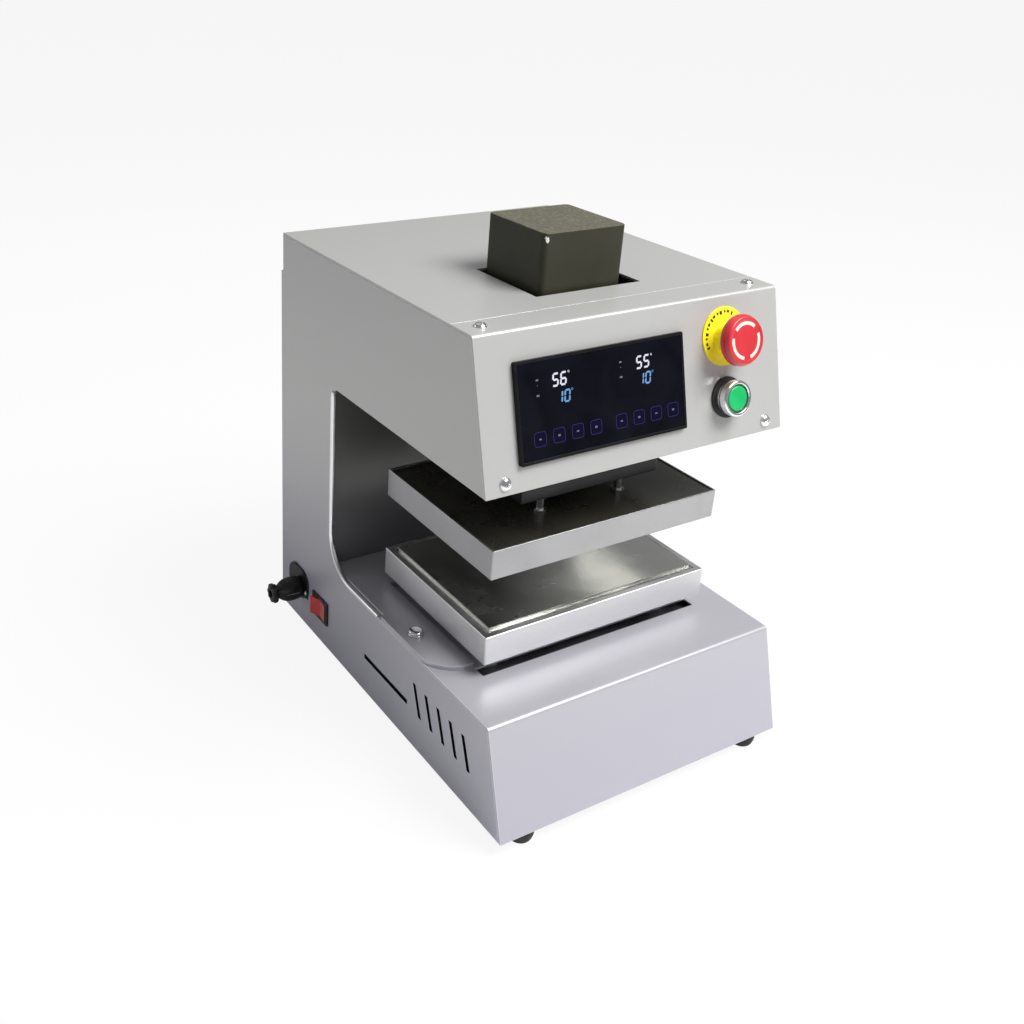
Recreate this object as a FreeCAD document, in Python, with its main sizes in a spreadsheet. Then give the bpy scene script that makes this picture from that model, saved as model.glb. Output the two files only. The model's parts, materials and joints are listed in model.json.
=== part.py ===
import FreeCAD
import Part
import Sketcher
import math
import os
import re

# Bench-top stamping press with two heated platens. Z is up, Y runs to the back, and the
# origin is on the table under the middle of the machine. All sizes are in millimetres.

SIZES = {
    "width": (300, "outer width over the two side panels"),
    "sheet": (2, "thickness of the folded covers"),
    "side_sheet": (2.5, "thickness of the side panels"),
    "lap": (0.2, "gap in the joint between two covers"),
    "foot_height": (12, "rubber foot, from table to bottom plate"),
    "base_top": (104, "height of the top of the base"),
    "head_bottom": (288, "height of the underside of the head"),
    "head_top": (403, "height of the top of the head"),
    "rear_y": (193, "back of the side panels"),
    "rear_cover_depth": (6, "how far the rear cover stands out"),
    "rear_cover_top": (366, "top of the rear cover"),
    "head_front_y": (-116, "front edge of the top of the head"),
    "panel_tilt": (14.85, "lean of the control panel from vertical, in degrees"),
    "base_front_y": (-171.5, "front edge of the top of the base"),
    "base_tilt": (16.64, "lean of the front of the base from vertical, in degrees"),
    "throat_y": (92, "front of the column, inside the throat"),
    "throat_radius": (40, "large lower corner of the throat"),
    "corner_radius": (10, "small upper corner of the throat"),
    "bend_radius": (3, "outer radius of a fold"),
    "flange_y": (-88, "rear edge of the fold of the control panel on the top"),
    "bed_sheet": (4, "thickness of the bed plate"),
    "bed_front_y": (-100, "front ends of the bed plate"),
    "bed_corner": (30, "rounded front corners of the bed plate"),
    "bed_step_y": (-4, "where the bed plate narrows to pass the side panels"),
    "bed_step_corner": (3, "rounded corners of the bed plate at that step"),
    "cutout_x": (115.5, "half width of the bed plate's cut-out and of the slit in the base"),
    "cutout_rear_y": (38, "rear of the bed plate's cut-out"),
    "slit_y": (-108.5, "middle of the slit in the base, in front of the lower platen"),
    "slit_depth": (11, "slit in the base, front to back"),
    "ram_y": (-36.5, "axis of the screw and the ram"),
    "platen_width": (236, "platens, left to right"),
    "platen_depth": (162, "platens, front to back"),
    "platen_height": (26.5, "height of a platen"),
    "platen_wall": (2.5, "wall of a platen's casing"),
    "lower_z": (116.5, "underside of the lower platen"),
    "post_radius": (9, "posts under the lower platen"),
    "post_x": (92, "posts, to the side of the middle"),
    "post_y": (52, "posts, in front of and behind the ram's axis"),
    "upper_z": (196, "underside of the upper platen with the ram up"),
    "plate_inset": (7, "from the casing's edge to the lower heating plate"),
    "plate_rise": (2, "lower heating plate above its casing"),
    "heating_plate": (14, "thickness of the upper heating plate"),
    "heater_radius": (5, "radius of a cartridge heater's bore"),
    "heater_pitch": (46, "distance between two heaters"),
    "ram_plate_z": (238.5, "underside of the ram plate with the ram up"),
    "ram_plate_height": (12, "thickness of the ram plate"),
    "ram_plate_half_x": (72, "half width of the ram plate"),
    "ram_plate_half_y": (52, "half depth of the ram plate"),
    "stud_x": (42, "platen studs, to the side of the ram's axis"),
    "stud_y": (39.5, "platen studs, in front of and behind the ram's axis"),
    "guide_x": (56, "guide rods, to the side of the ram's axis"),
    "guide_radius": (7, "radius of a guide rod"),
    "frame_sheet": (8, "thickness of the frame plates"),
    "bearing_z": (330, "underside of the bearing plate"),
    "bearing_plate": (16, "thickness of the bearing plate"),
    "beam_z": (80, "underside of the bed beam"),
    "beam_height": (16, "thickness of the bed beam"),
    "screw_radius": (10, "lead screw"),
    "running": (0.05, "clearance of a running fit, on the radius"),
    "gear_module": (1, "tooth module of the screw drive"),
    "gear_teeth": (32, "teeth of the wheel on the screw"),
    "pinion_teeth": (16, "teeth of the motor's pinion"),
    "gear_z": (380, "underside of the drive gears"),
    "gear_width": (10, "width of the drive gears"),
    "motor_radius": (18, "motor can"),
    "cover_x": (-5.1, "middle of the motor cover"),
    "cover_width": (82, "motor cover, left to right"),
    "cover_depth": (77, "motor cover, front to back"),
    "cover_y": (-17.5, "middle of the motor cover, front to back"),
    "cover_foot": (378, "lower edge of the motor cover"),
    "cover_top": (451, "top of the motor cover"),
    "opening_width": (106, "opening round the motor cover"),
    "opening_depth": (83.5, "opening round the motor cover, front to back"),
    "opening_y": (-18.75, "middle of that opening"),
    "display_x": (-38.3, "middle of the display"),
    "display_s": (57.5, "middle of the display, up the panel from its lower edge"),
    "display_width": (161.5, "display frame"),
    "display_height": (77, "display frame, along the slope"),
    "display_rim": (3.5, "width and height of the display frame"),
    "button_x": (89.5, "start button and emergency stop"),
    "stop_s": (83.3, "emergency stop, up the panel"),
    "start_s": (35.8, "start button, up the panel"),
    "legend_radius": (23.8, "yellow disc under the emergency stop"),
    "legend_rise": (2.2, "middle of the yellow disc above the emergency stop's axis"),
    "stop_radius": (20.7, "emergency stop's cap"),
    "collar_top": (8.5, "emergency stop's collar, out from the panel"),
    "rim_radius": (14.75, "bright rim of the start button"),
    "rim_top": (13.5, "bright rim of the start button, out from the panel"),
    "screw_x": (132, "cover screws at the sides of the head"),
    "screw_s": (8.8, "lower cover screws, up the panel"),
    "head_radius": (5.2, "head of a cover screw"),
    "inlet_y": (151, "power inlet, front to back"),
    "inlet_z": (52, "height of the power inlet"),
    "rocker_y": (109, "power switch, front to back"),
    "rocker_z": (50, "height of the power switch"),
    "rocker_length": (31, "frame of the power switch"),
    "rocker_height": (25, "frame of the power switch, up and down"),
    "foot_x": (122.5, "rubber feet, to the side of the middle"),
    "foot_front_y": (-187.5, "front feet"),
    "foot_rear_y": (172, "rear feet"),
    "foot_radius": (11.5, "rubber foot at the bottom plate"),
    "slot_width": (4.6, "width of a vent slot"),
    "slot_pitch": (18.6, "distance between two vent slots"),
    "slot_front_y": (-77.8, "lower front corner of the rearmost vent slot"),
    "slot_low": (46.5, "lower ends of the vent slots"),
    "slot_high": (75.5, "upper ends of the vent slots"),
    "long_slot_y": (-16.4, "middle of the long vent slot"),
    "long_slot_z": (49.5, "height of the long vent slot"),
    "long_slot_length": (76, "length of the long vent slot"),
    "frame_rear_y": (185, "rear edge of the frame plates"),
    "frame_front_y": (-100, "front edge of the frame plates, in the head"),
    "frame_top": (396, "top of the frame plates"),
    "frame_head_z": (300, "underside of the frame plates, in the head"),
    "rear_slot_z": (80, "lowest slot of the rear cover"),
    "rear_slot_pitch": (9, "distance between two slots of the rear cover"),
    "rear_slot_length": (90, "length of a slot of the rear cover"),
}

doc = FreeCAD.newDocument("stamping_press")
dims = doc.addObject("Spreadsheet::Sheet", "dims")
for row, (alias, (number, meaning)) in enumerate(SIZES.items(), 1):
    dims.set(f"A{row}", meaning)
    dims.set(f"B{row}", str(number))
    dims.setAlias(f"B{row}", alias)
doc.recompute()

NODES = {}
OUT = "1000"  # longer than any piece, for tools that cut right through


def formula(text):
    """The text as an expression on the sheet's cells."""
    return re.sub(r"[A-Za-z_]\w*", lambda m: "dims." + m[0] if m[0] in SIZES else m[0], str(text))


def value(text):
    return float(dims.evalExpression(formula(text)))


def bind(piece, **sizes):
    for name, text in sizes.items():
        piece.setExpression(name, formula(text))
    return piece


def place(piece, at, turn=None):
    """Put a piece at a point given by formulas; turn is an axis and an angle formula."""
    if turn:
        axis, angle = turn
        start = FreeCAD.Rotation(FreeCAD.Vector(*axis), 1)
        piece.Placement = FreeCAD.Placement(FreeCAD.Vector(), start)
        piece.setExpression("Placement.Rotation.Angle", formula(angle))
    for letter, text in zip("xyz", at):
        piece.setExpression(f"Placement.Base.{letter}", formula(text))
    return piece


def node(label, piece):
    """Name a finished piece; it is written to its own file."""
    piece.Label = label
    NODES[label] = piece
    return piece


def box(name, size, at):
    piece = doc.addObject("Part::Box", name)
    bind(piece, Length=size[0], Width=size[1], Height=size[2])
    return place(piece, at)


def centred_box(name, size, at):
    """A box centred on a point in X and Y, standing on its Z."""
    corner = (f"{at[0]} - ({size[0]}) / 2", f"{at[1]} - ({size[1]}) / 2", at[2])
    return box(name, size, corner)


AXES = {"Z": None, "X": ((0, 1, 0), "90"), "Y": ((1, 0, 0), "-90")}


def rod(name, radius, length, at, axis="Z"):
    piece = doc.addObject("Part::Cylinder", name)
    bind(piece, Radius=radius, Height=length)
    return place(piece, at, AXES[axis])


def cone(name, low, high, length, at, axis="Z"):
    piece = doc.addObject("Part::Cone", name)
    bind(piece, Radius1=low, Radius2=high, Height=length)
    return place(piece, at, AXES[axis])


def cut(name, piece, *tools):
    for number, tool in enumerate(tools):
        result = doc.addObject("Part::Cut", f"{name}_{number}")
        result.Base = piece
        result.Tool = tool
        piece = result
    return piece


def fuse(name, piece, *others):
    for number, other in enumerate(others):
        result = doc.addObject("Part::Fuse", f"{name}_{number}")
        result.Base = piece
        result.Tool = other
        piece = result
    return piece


def group(name, pieces):
    """Separate solids that share one node."""
    result = doc.addObject("Part::Compound", name)
    result.Links = pieces
    return result


def soften(name, piece, radius, keep):
    """Round the edges of a piece that keep says yes to."""
    doc.recompute()
    result = doc.addObject("Part::Fillet", name)
    result.Base = piece
    size = value(radius)
    chosen = [number for number, edge in enumerate(piece.Shape.Edges, 1) if keep(edge)]
    result.Edges = [(number, size, size) for number in chosen]
    return result


def upright(edge):
    """True for an edge along Z."""
    ends = [vertex.Point for vertex in edge.Vertexes]
    return len(ends) == 2 and (ends[0] - ends[1]).Length - abs(ends[0].z - ends[1].z) < 1e-6


def ring(name, outer, inner, length, at, axis="Z"):
    body = rod(f"{name}_outer", outer, length, at, axis)
    return cut(name, body, rod(f"{name}_bore", inner, length, at, axis))


# Folded and cut sheets are PartDesign bodies, drawn in sketches.


def new_body(name):
    return doc.addObject("PartDesign::Body", name)


def sketch(body, name, role, offset="0"):
    drawing = body.newObject("Sketcher::SketchObject", name)
    plane = [f for f in body.Origin.OriginFeatures if f.Role == role][0]
    drawing.AttachmentSupport = (plane, [""])
    drawing.MapMode = "FlatFace"
    drawing.setExpression("AttachmentOffset.Base.z", formula(offset))
    return drawing


def fix_point(drawing, geometry, end, at):
    for name, text in zip(("DistanceX", "DistanceY"), at):
        rule = Sketcher.Constraint(name, -1, 1, geometry, end, value(text))
        number = drawing.addConstraint(rule)
        drawing.setExpression(f"Constraints[{number}]", formula(text))


def outline(drawing, corners):
    """A closed outline through corners given by formulas."""
    first = drawing.GeometryCount
    points = [FreeCAD.Vector(value(a), value(b), 0) for a, b in corners]
    count = len(points)
    for start, end in zip(points, points[1:] + points[:1]):
        drawing.addGeometry(Part.LineSegment(start, end), False)
    for number in range(count):
        following = first + (number + 1) % count
        drawing.addConstraint(Sketcher.Constraint("Coincident", first + number, 2, following, 1))
    for number, corner in enumerate(corners):
        fix_point(drawing, first + number, 1, corner)


def rectangle(drawing, middle, size):
    (x, y), (width, height) = middle, size
    low_x, high_x = f"{x} - ({width}) / 2", f"{x} + ({width}) / 2"
    low_y, high_y = f"{y} - ({height}) / 2", f"{y} + ({height}) / 2"
    outline(drawing, [(low_x, low_y), (high_x, low_y), (high_x, high_y), (low_x, high_y)])


def circle(drawing, middle, radius):
    centre = FreeCAD.Vector(value(middle[0]), value(middle[1]), 0)
    shape = Part.Circle(centre, FreeCAD.Vector(0, 0, 1), value(radius))
    number = drawing.addGeometry(shape, False)
    rule = drawing.addConstraint(Sketcher.Constraint("Radius", number, value(radius)))
    drawing.setExpression(f"Constraints[{rule}]", formula(radius))
    fix_point(drawing, number, 3, middle)


def pad(body, drawing, length, symmetric=False):
    feature = body.newObject("PartDesign::Pad", drawing.Name + "_pad")
    feature.Profile = drawing
    feature.setExpression("Length", formula(length))
    feature.SideType = "Symmetric" if symmetric else "One side"
    return feature


def pocket(body, drawing):
    """Cut a drawing right through, both ways."""
    feature = body.newObject("PartDesign::Pocket", drawing.Name + "_pocket")
    feature.Profile = drawing
    feature.SideType = "Symmetric"
    feature.Type = "ThroughAll"
    return feature


def fold(body, base, name, radius, corners):
    """Round the edges along X that stand at the given corners (Y, Z)."""
    doc.recompute()
    places = [(value(y), value(z)) for y, z in corners]
    names = []
    for number, edge in enumerate(base.Shape.Edges, 1):
        middle = edge.CenterOfMass
        along_x = abs(edge.BoundBox.XLength - edge.Length) < 1e-6
        if along_x and any(math.hypot(middle.y - y, middle.z - z) < 0.05 for y, z in places):
            names.append(f"Edge{number}")
    feature = body.newObject("PartDesign::Fillet", name)
    feature.Base = (base, names)
    feature.setExpression("Radius", formula(radius))
    return feature


def head_slope(z, depth="0"):
    """Y of the control panel at height z, and depth inside its outer face."""
    lean = "panel_tilt * 1deg"
    return f"(head_front_y - (head_top - ({z})) * tan({lean}) + ({depth}) / cos({lean}))"


def base_slope(z, depth="0"):
    lean = "base_tilt * 1deg"
    return f"(base_front_y - (base_top - ({z})) * tan({lean}) + ({depth}) / cos({lean}))"


def on_panel(piece):
    """Move a piece drawn flat on the control panel to its slope."""
    return place(piece, ("0", head_slope("head_bottom"), "head_bottom"), ((1, 0, 0), "90 - panel_tilt"))


# ---- side panels: one C-shaped sheet each side ----

COVERED = "sheet + lap"  # how far the side panels stay inside the folded covers


def side_panel(label, outer_x):
    body = new_body(label)
    drawing = sketch(body, f"{label}_outline", "YZ_Plane", outer_x)
    step_y = "throat_y - throat_radius - 0.5"
    under = f"base_top - ({COVERED})"
    top = f"head_top - ({COVERED})"
    outline(drawing, [
        ("rear_y", "foot_height"),
        ("rear_y", top),
        (head_slope(top, COVERED), top),
        (head_slope("head_bottom", COVERED), "head_bottom"),
        ("throat_y", "head_bottom"),
        ("throat_y", "base_top"),
        (step_y, "base_top"),
        (step_y, under),
        (base_slope(under, COVERED), under),
        (base_slope("foot_height", COVERED), "foot_height"),
    ])
    panel = pad(body, drawing, "side_sheet")
    panel = fold(body, panel, f"{label}_large_corner", "throat_radius", [("throat_y", "base_top")])
    panel = fold(body, panel, f"{label}_small_corner", "corner_radius", [("throat_y", "head_bottom")])
    slot = sketch(body, f"{label}_slot", "YZ_Plane", outer_x)
    lean = "tan(base_tilt * 1.25deg)"
    shift = f"(slot_high - slot_low) * {lean}"
    outline(slot, [
        ("slot_front_y", "slot_low"),
        ("slot_front_y + slot_width", "slot_low"),
        (f"slot_front_y + slot_width + {shift}", "slot_high"),
        (f"slot_front_y + {shift}", "slot_high"),
    ])
    first = pocket(body, slot)
    row = body.newObject("PartDesign::LinearPattern", f"{label}_slots")
    row.Originals = [first]
    row.Direction = (slot, ["H_Axis"])
    row.Reversed = True
    row.setExpression("Length", formula("slot_pitch * 4"))
    row.Occurrences = 5
    body.Tip = row
    long_slot = sketch(body, f"{label}_long_slot", "YZ_Plane", outer_x)
    rectangle(long_slot, ("long_slot_y", "long_slot_z"), ("long_slot_length", "slot_width"))
    pocket(body, long_slot)
    return body


right_panel = side_panel("right_side_panel", "width / 2 - side_sheet")
node("right_side_panel", right_panel)
left_panel = side_panel("left_side_panel", "-width / 2")
socket = sketch(left_panel, "socket_cutouts", "YZ_Plane", "-width / 2")
rectangle(socket, ("inlet_y", "inlet_z"), ("28", "21"))
rectangle(socket, ("rocker_y", "rocker_z"), ("rocker_length - 4", "rocker_height - 4"))
pocket(left_panel, socket)
node("left_side_panel", left_panel)

INSIDE = "width - 2 * (side_sheet + lap)"  # clear width between the side panels


# ---- head: top cover, control panel, underside, motor cover ----

top = new_body("top_cover")
flat = sketch(top, "top_flat", "XY_Plane", "head_top - sheet")
rectangle(flat, ("0", "(rear_y + flange_y + lap) / 2"), ("width", "rear_y - flange_y - lap"))
top_pad = pad(top, flat, "sheet")
top_pad = fold(top, top_pad, "top_rear_bend", "sheet * 0.9", [("rear_y", "head_top")])
drop = sketch(top, "top_rear_flange", "YZ_Plane")
outline(drop, [
    ("rear_y - sheet", "head_top - sheet"),
    ("rear_y - sheet", "rear_cover_top - 12"),
    ("rear_y", "rear_cover_top - 12"),
    ("rear_y", "head_top - sheet"),
])
pad(top, drop, INSIDE, symmetric=True)
hole = sketch(top, "top_opening", "XY_Plane", "head_top")
rectangle(hole, ("0", "opening_y"), ("opening_width", "opening_depth"))
pocket(top, hole)
node("top_cover", top)

panel = new_body("front_panel")
profile = sketch(panel, "front_panel_fold", "YZ_Plane")
outline(profile, [
    ("flange_y", "head_top"),
    ("head_front_y", "head_top"),
    (head_slope("head_bottom"), "head_bottom"),
    (head_slope("head_bottom", "sheet"), "head_bottom"),
    (head_slope("head_top - sheet", "sheet"), "head_top - sheet"),
    ("flange_y", "head_top - sheet"),
])
folded = pad(panel, profile, "width", symmetric=True)
folded = fold(panel, folded, "front_panel_bend", "bend_radius", [("head_front_y", "head_top")])
hem = sketch(panel, "front_panel_hem", "YZ_Plane")
outline(hem, [
    (head_slope("head_bottom", "sheet / 2"), "head_bottom"),
    (head_slope("head_bottom + sheet", "sheet / 2"), "head_bottom + sheet"),
    (head_slope("head_bottom + sheet", "18"), "head_bottom + sheet"),
    (head_slope("head_bottom", "18"), "head_bottom"),
])
pad(panel, hem, INSIDE, symmetric=True)
holes = [group("display_hole_place", [box(
    "display_hole_flat", ("display_width - 8", "display_height - 8", "20"),
    ("display_x - (display_width - 8) / 2", "display_s - (display_height - 8) / 2", "-10"))])]
for name, where in (("stop_hole", "stop_s"), ("start_hole", "start_s")):
    holes.append(group(f"{name}_place", [rod(f"{name}_flat", "11.2", "20", ("button_x", where, "-10"))]))
for name, x in (("left", "-screw_x"), ("right", "screw_x")):
    hole = rod(f"{name}_screw_flat", "2.6", "20", (x, "screw_s", "-10"))
    holes.append(group(f"{name}_screw_place", [hole]))
front = cut("front_panel_holed", panel, *[on_panel(hole) for hole in holes])
node("front_panel", front)

underside = new_body("head_bottom_cover")
flat = sketch(underside, "head_bottom_flat", "XY_Plane", "head_bottom")
rear, fore = "throat_y - 0.5", "head_front_y - 8"
rectangle(flat, ("0", f"({rear} + {fore}) / 2"), (INSIDE, f"{rear} - ({fore})"))
pad(underside, flat, "sheet")
hole = sketch(underside, "head_bottom_opening", "XY_Plane", "head_bottom")
rectangle(hole, ("0", "ram_y"), ("2 * ram_plate_half_x + 10", "2 * ram_plate_half_y + 6"))
pocket(underside, hole)
node("head_bottom_cover", underside)

shell = centred_box("motor_cover_block", ("cover_width", "cover_depth", "cover_top - cover_foot"),
                    ("cover_x", "cover_y", "cover_foot"))
shell = soften("motor_cover_corners", shell, "5", upright)
hollow = centred_box("motor_cover_inside", ("cover_width - 2 * sheet", "cover_depth - 2 * sheet",
                                           "cover_top - cover_foot - sheet"),
                     ("cover_x", "cover_y", "cover_foot"))
shell = cut("motor_cover_shell", shell, hollow)
crown = value("cover_top")
node("motor_cover", soften("motor_cover_rim", shell, "1.2",
                           lambda edge: abs(edge.BoundBox.ZMin - crown) < 1e-6))


# ---- column and base covers ----

back = new_body("rear_cover")
plate = sketch(back, "rear_cover_face", "XZ_Plane", "-rear_y - rear_cover_depth")
cover_mid = "(rear_cover_top + foot_height + 8) / 2"
cover_high = "rear_cover_top - foot_height - 8"
rectangle(plate, ("0", cover_mid), ("width - 2", cover_high))
pad(back, plate, "rear_cover_depth")
back_cavity = sketch(back, "rear_cover_cavity", "XZ_Plane", "-rear_y - rear_cover_depth + sheet")
rectangle(back_cavity, ("0", cover_mid), ("width - 2 - 2 * sheet", f"{cover_high} - 2 * sheet"))
scoop = back.newObject("PartDesign::Pocket", "rear_cover_scoop")
scoop.Profile = back_cavity
scoop.setExpression("Length", formula("rear_cover_depth"))
scoop.Reversed = True
slots = sketch(back, "rear_cover_slots", "XZ_Plane")
for number in range(8):
    height = f"rear_slot_z + rear_slot_pitch * {number}"
    rectangle(slots, ("0", height), ("rear_slot_length", "slot_width"))
pocket(back, slots)
node("rear_cover", back)

wall = box("throat_back_sheet", (INSIDE, "sheet", "head_bottom - base_top - lap"),
           (f"-({INSIDE}) / 2", "throat_y", "base_top + lap"))
node("throat_back_panel", wall)

base = new_body("base_cover")
profile = sketch(base, "base_fold", "YZ_Plane")
joint_y = "throat_y - throat_radius - 0.5 - lap"
outline(profile, [
    (joint_y, "base_top"),
    ("base_front_y", "base_top"),
    (base_slope("foot_height"), "foot_height"),
    (base_slope("foot_height", "sheet"), "foot_height"),
    (base_slope("base_top - sheet", "sheet"), "base_top - sheet"),
    (joint_y, "base_top - sheet"),
])
folded = pad(base, profile, "width", symmetric=True)
folded = fold(base, folded, "base_bend", "bend_radius + 1", [("base_front_y", "base_top")])
rear_strip = sketch(base, "base_rear_strip", "XY_Plane", "base_top - sheet")
rectangle(rear_strip, ("0", f"({joint_y} - 5 + throat_y + sheet) / 2"),
          (INSIDE, f"throat_y + sheet - ({joint_y} - 5)"))
pad(base, rear_strip, "sheet")
hole = sketch(base, "base_slit", "XY_Plane", "base_top")
rectangle(hole, ("0", "slit_y"), ("2 * cutout_x", "slit_depth"))
POSTS = [(x, f"ram_y + ({y})") for x in ("-post_x", "post_x") for y in ("-post_y", "post_y")]
for spot in POSTS:
    circle(hole, spot, "post_radius + 1")
pocket(base, hole)
node("base_cover", base)

bed = new_body("bed_plate")
shape = sketch(bed, "bed_outline", "XY_Plane", "base_top")
narrow = f"({INSIDE}) / 2 - 0.5"
outline(shape, [
    ("-width / 2", "bed_front_y"),
    ("-cutout_x", "bed_front_y"),
    ("-cutout_x", "cutout_rear_y"),
    ("cutout_x", "cutout_rear_y"),
    ("cutout_x", "bed_front_y"),
    ("width / 2", "bed_front_y"),
    ("width / 2", "bed_step_y"),
    (narrow, "bed_step_y"),
    (narrow, "throat_y - 0.5"),
    (f"-({narrow})", "throat_y - 0.5"),
    (f"-({narrow})", "bed_step_y"),
    ("-width / 2", "bed_step_y"),
])
slab = pad(bed, shape, "bed_sheet")
doc.recompute()


def corner_fillet(body, feature, name, radius, x, y):
    """Round the two upright edges at x and -x."""
    doc.recompute()
    names = []
    for number, edge in enumerate(feature.Shape.Edges, 1):
        middle = edge.CenterOfMass
        close = abs(abs(middle.x) - value(x)) < 0.05 and abs(middle.y - value(y)) < 0.05
        if upright(edge) and close:
            names.append(f"Edge{number}")
    result = body.newObject("PartDesign::Fillet", name)
    result.Base = (feature, names)
    result.setExpression("Radius", formula(radius))
    return result


slab = corner_fillet(bed, slab, "bed_front_corners", "bed_corner", "width / 2", "bed_front_y")
slab = corner_fillet(bed, slab, "bed_step_corners", "bed_step_corner", "width / 2", "bed_step_y")
node("bed_plate", bed)

node("base_bottom_plate", box(
    "bottom_sheet", (INSIDE, f"rear_y - ({base_slope('foot_height', 'sheet + 1')})", "sheet"),
    (f"-({INSIDE}) / 2", base_slope("foot_height", "sheet + 1"), "foot_height")))

feet = []
spots = [(x, y) for x in ("-foot_x", "foot_x") for y in ("foot_front_y", "foot_rear_y")]
for number, (x, y) in enumerate(spots):
    feet.append(cone(f"foot_{number}", "foot_radius - 1.5", "foot_radius", "foot_height", (x, y, "0")))
node("rubber_feet", group("feet", feet))


# ---- press frame: two C plates, the bearing plate above and the bed beam below ----


def frame_plate(label, inner_x):
    body = new_body(label)
    drawing = sketch(body, f"{label}_outline", "YZ_Plane", inner_x)
    outline(drawing, [
        ("frame_rear_y", "foot_height + 2 * sheet"),
        ("frame_rear_y", "frame_top"),
        ("frame_front_y", "frame_top"),
        ("frame_front_y", "frame_head_z"),
        ("throat_y + 5", "frame_head_z"),
        ("throat_y + 5", "beam_z + beam_height + 4"),
        ("-112", "beam_z + beam_height + 4"),
        ("-112", "beam_z - 4"),
        ("60", "beam_z - 4"),
        ("60", "foot_height + 2 * sheet"),
    ])
    pad(body, drawing, "frame_sheet")
    return body


FRAME_X = "(width / 2 - side_sheet - frame_sheet)"  # inner faces of the frame plates
node("right_frame_plate", frame_plate("right_frame_plate", FRAME_X))
left_frame = frame_plate("left_frame_plate", f"-{FRAME_X} - frame_sheet")
windows = sketch(left_frame, "frame_windows", "YZ_Plane", f"-{FRAME_X}")
rectangle(windows, ("inlet_y", "inlet_z"), ("30", "23"))
rectangle(windows, ("rocker_y", "rocker_z"), ("rocker_length - 1", "rocker_height - 2"))
pocket(left_frame, windows)
node("left_frame_plate", left_frame)

plate = new_body("bearing_plate")
drawing = sketch(plate, "bearing_plate_outline", "XY_Plane", "bearing_z")
rectangle(drawing, ("0", "ram_y"), (f"2 * {FRAME_X}", "90"))
circle(drawing, ("0", "ram_y"), "12")
circle(drawing, ("-guide_x", "ram_y"), "14")
circle(drawing, ("guide_x", "ram_y"), "14")
pad(plate, drawing, "bearing_plate")
node("bearing_plate", plate)

beam = box("beam_block", (f"2 * {FRAME_X}", "205", "beam_height"), (f"-{FRAME_X}", "-112", "beam_z"))
node("bed_beam", beam)


# ---- platens ----


def platen_box(name, wall, height, z):
    size = (f"platen_width - 2 * ({wall})", f"platen_depth - 2 * ({wall})", height)
    return centred_box(name, size, ("0", "ram_y", z))


def heater_bores(name, z):
    """Three bores along X through a heating plate."""
    return [rod(f"{name}_{number}", "heater_radius", OUT,
                ("-500", f"ram_y + heater_pitch * ({number} - 1)", z), "X") for number in range(3)]


def heaters(label, z):
    pieces = [rod(f"{label}_{number}", "heater_radius - running", "platen_width - 40",
                  ("-(platen_width - 40) / 2", f"ram_y + heater_pitch * ({number} - 1)", z), "X")
              for number in range(3)]
    return node(label, group(f"{label}_group", pieces))


casing = platen_box("upper_casing_block", "0", "platen_height - 0.5", "upper_z + 0.5")
casing = soften("upper_casing_corners", casing, "1.2", upright)
well = platen_box("upper_casing_well", "platen_wall", OUT, "0")
node("upper_platen_casing", cut("upper_casing", casing, well))
FIT = "platen_wall + 0.3"
block = platen_box("upper_heating_block", FIT, "heating_plate", "upper_z")
node("upper_heating_plate", cut("upper_heating_bored", block,
                                *heater_bores("upper_bore", "upper_z + heating_plate / 2")))
heaters("upper_heaters", "upper_z + heating_plate / 2")
top_z = "upper_z + platen_height - 3"
node("upper_insulation", platen_box("upper_board", FIT, f"{top_z} - upper_z - heating_plate",
                                    "upper_z + heating_plate"))
node("upper_platen_top_plate", platen_box("upper_dark_plate", FIT, "2", top_z))

casing = platen_box("lower_casing_block", "0", "platen_height", "lower_z")
casing = soften("lower_casing_corners", casing, "1.2", upright)
well = platen_box("lower_casing_well", "plate_inset - 0.8", OUT, "lower_z + 2")
node("lower_platen_casing", cut("lower_casing", casing, well))
hot_z = "lower_z + 12"
hot_height = "platen_height + plate_rise - 12"
step = platen_box("lower_heating_step", "plate_inset", f"{hot_height} - plate_rise - 0.6", hot_z)
crown = platen_box("lower_heating_crown", "plate_inset + 2", hot_height, hot_z)
block = fuse("lower_heating_block", step, crown)
node("lower_heating_plate", cut("lower_heating_bored", block,
                                *heater_bores("lower_bore", f"{hot_z} + 6.5")))
heaters("lower_heaters", f"{hot_z} + 6.5")
node("lower_insulation", platen_box("lower_board", "plate_inset", "10", "lower_z + 2"))
posts = []
for number, (x, y) in enumerate(POSTS):
    posts.append(rod(f"post_{number}", "post_radius", "lower_z - beam_z - beam_height",
                     (x, y, "beam_z + beam_height")))
node("lower_platen_posts", group("posts", posts))


# ---- ram: plate, studs, tube, nut, guide rods ----

RAM_TOP = "ram_plate_z + ram_plate_height"
NUT_Z = f"{RAM_TOP} + 39.5"
slab = centred_box("ram_slab", ("2 * ram_plate_half_x", "2 * ram_plate_half_y", "ram_plate_height"),
                   ("0", "ram_y", "ram_plate_z"))
node("ram_plate", cut("ram_plate_bored", slab,
                      rod("ram_plate_relief", "screw_radius + 2", "ram_plate_height",
                          ("0", "ram_y", "ram_plate_z + 3"))))
studs = []
stud_foot = f"{top_z} + 2"
for number, (x, y) in enumerate((x, y) for x in ("-stud_x", "stud_x") for y in ("-stud_y", "stud_y")):
    at = (x, f"ram_y + ({y})", stud_foot)
    shank = rod(f"stud_{number}", "3.5", f"ram_plate_z - ({stud_foot})", at)
    washer = rod(f"stud_washer_{number}", "5.5", "1.6", at)
    studs.append(fuse(f"stud_whole_{number}", shank, washer))
node("platen_studs", group("studs", studs))
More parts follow.
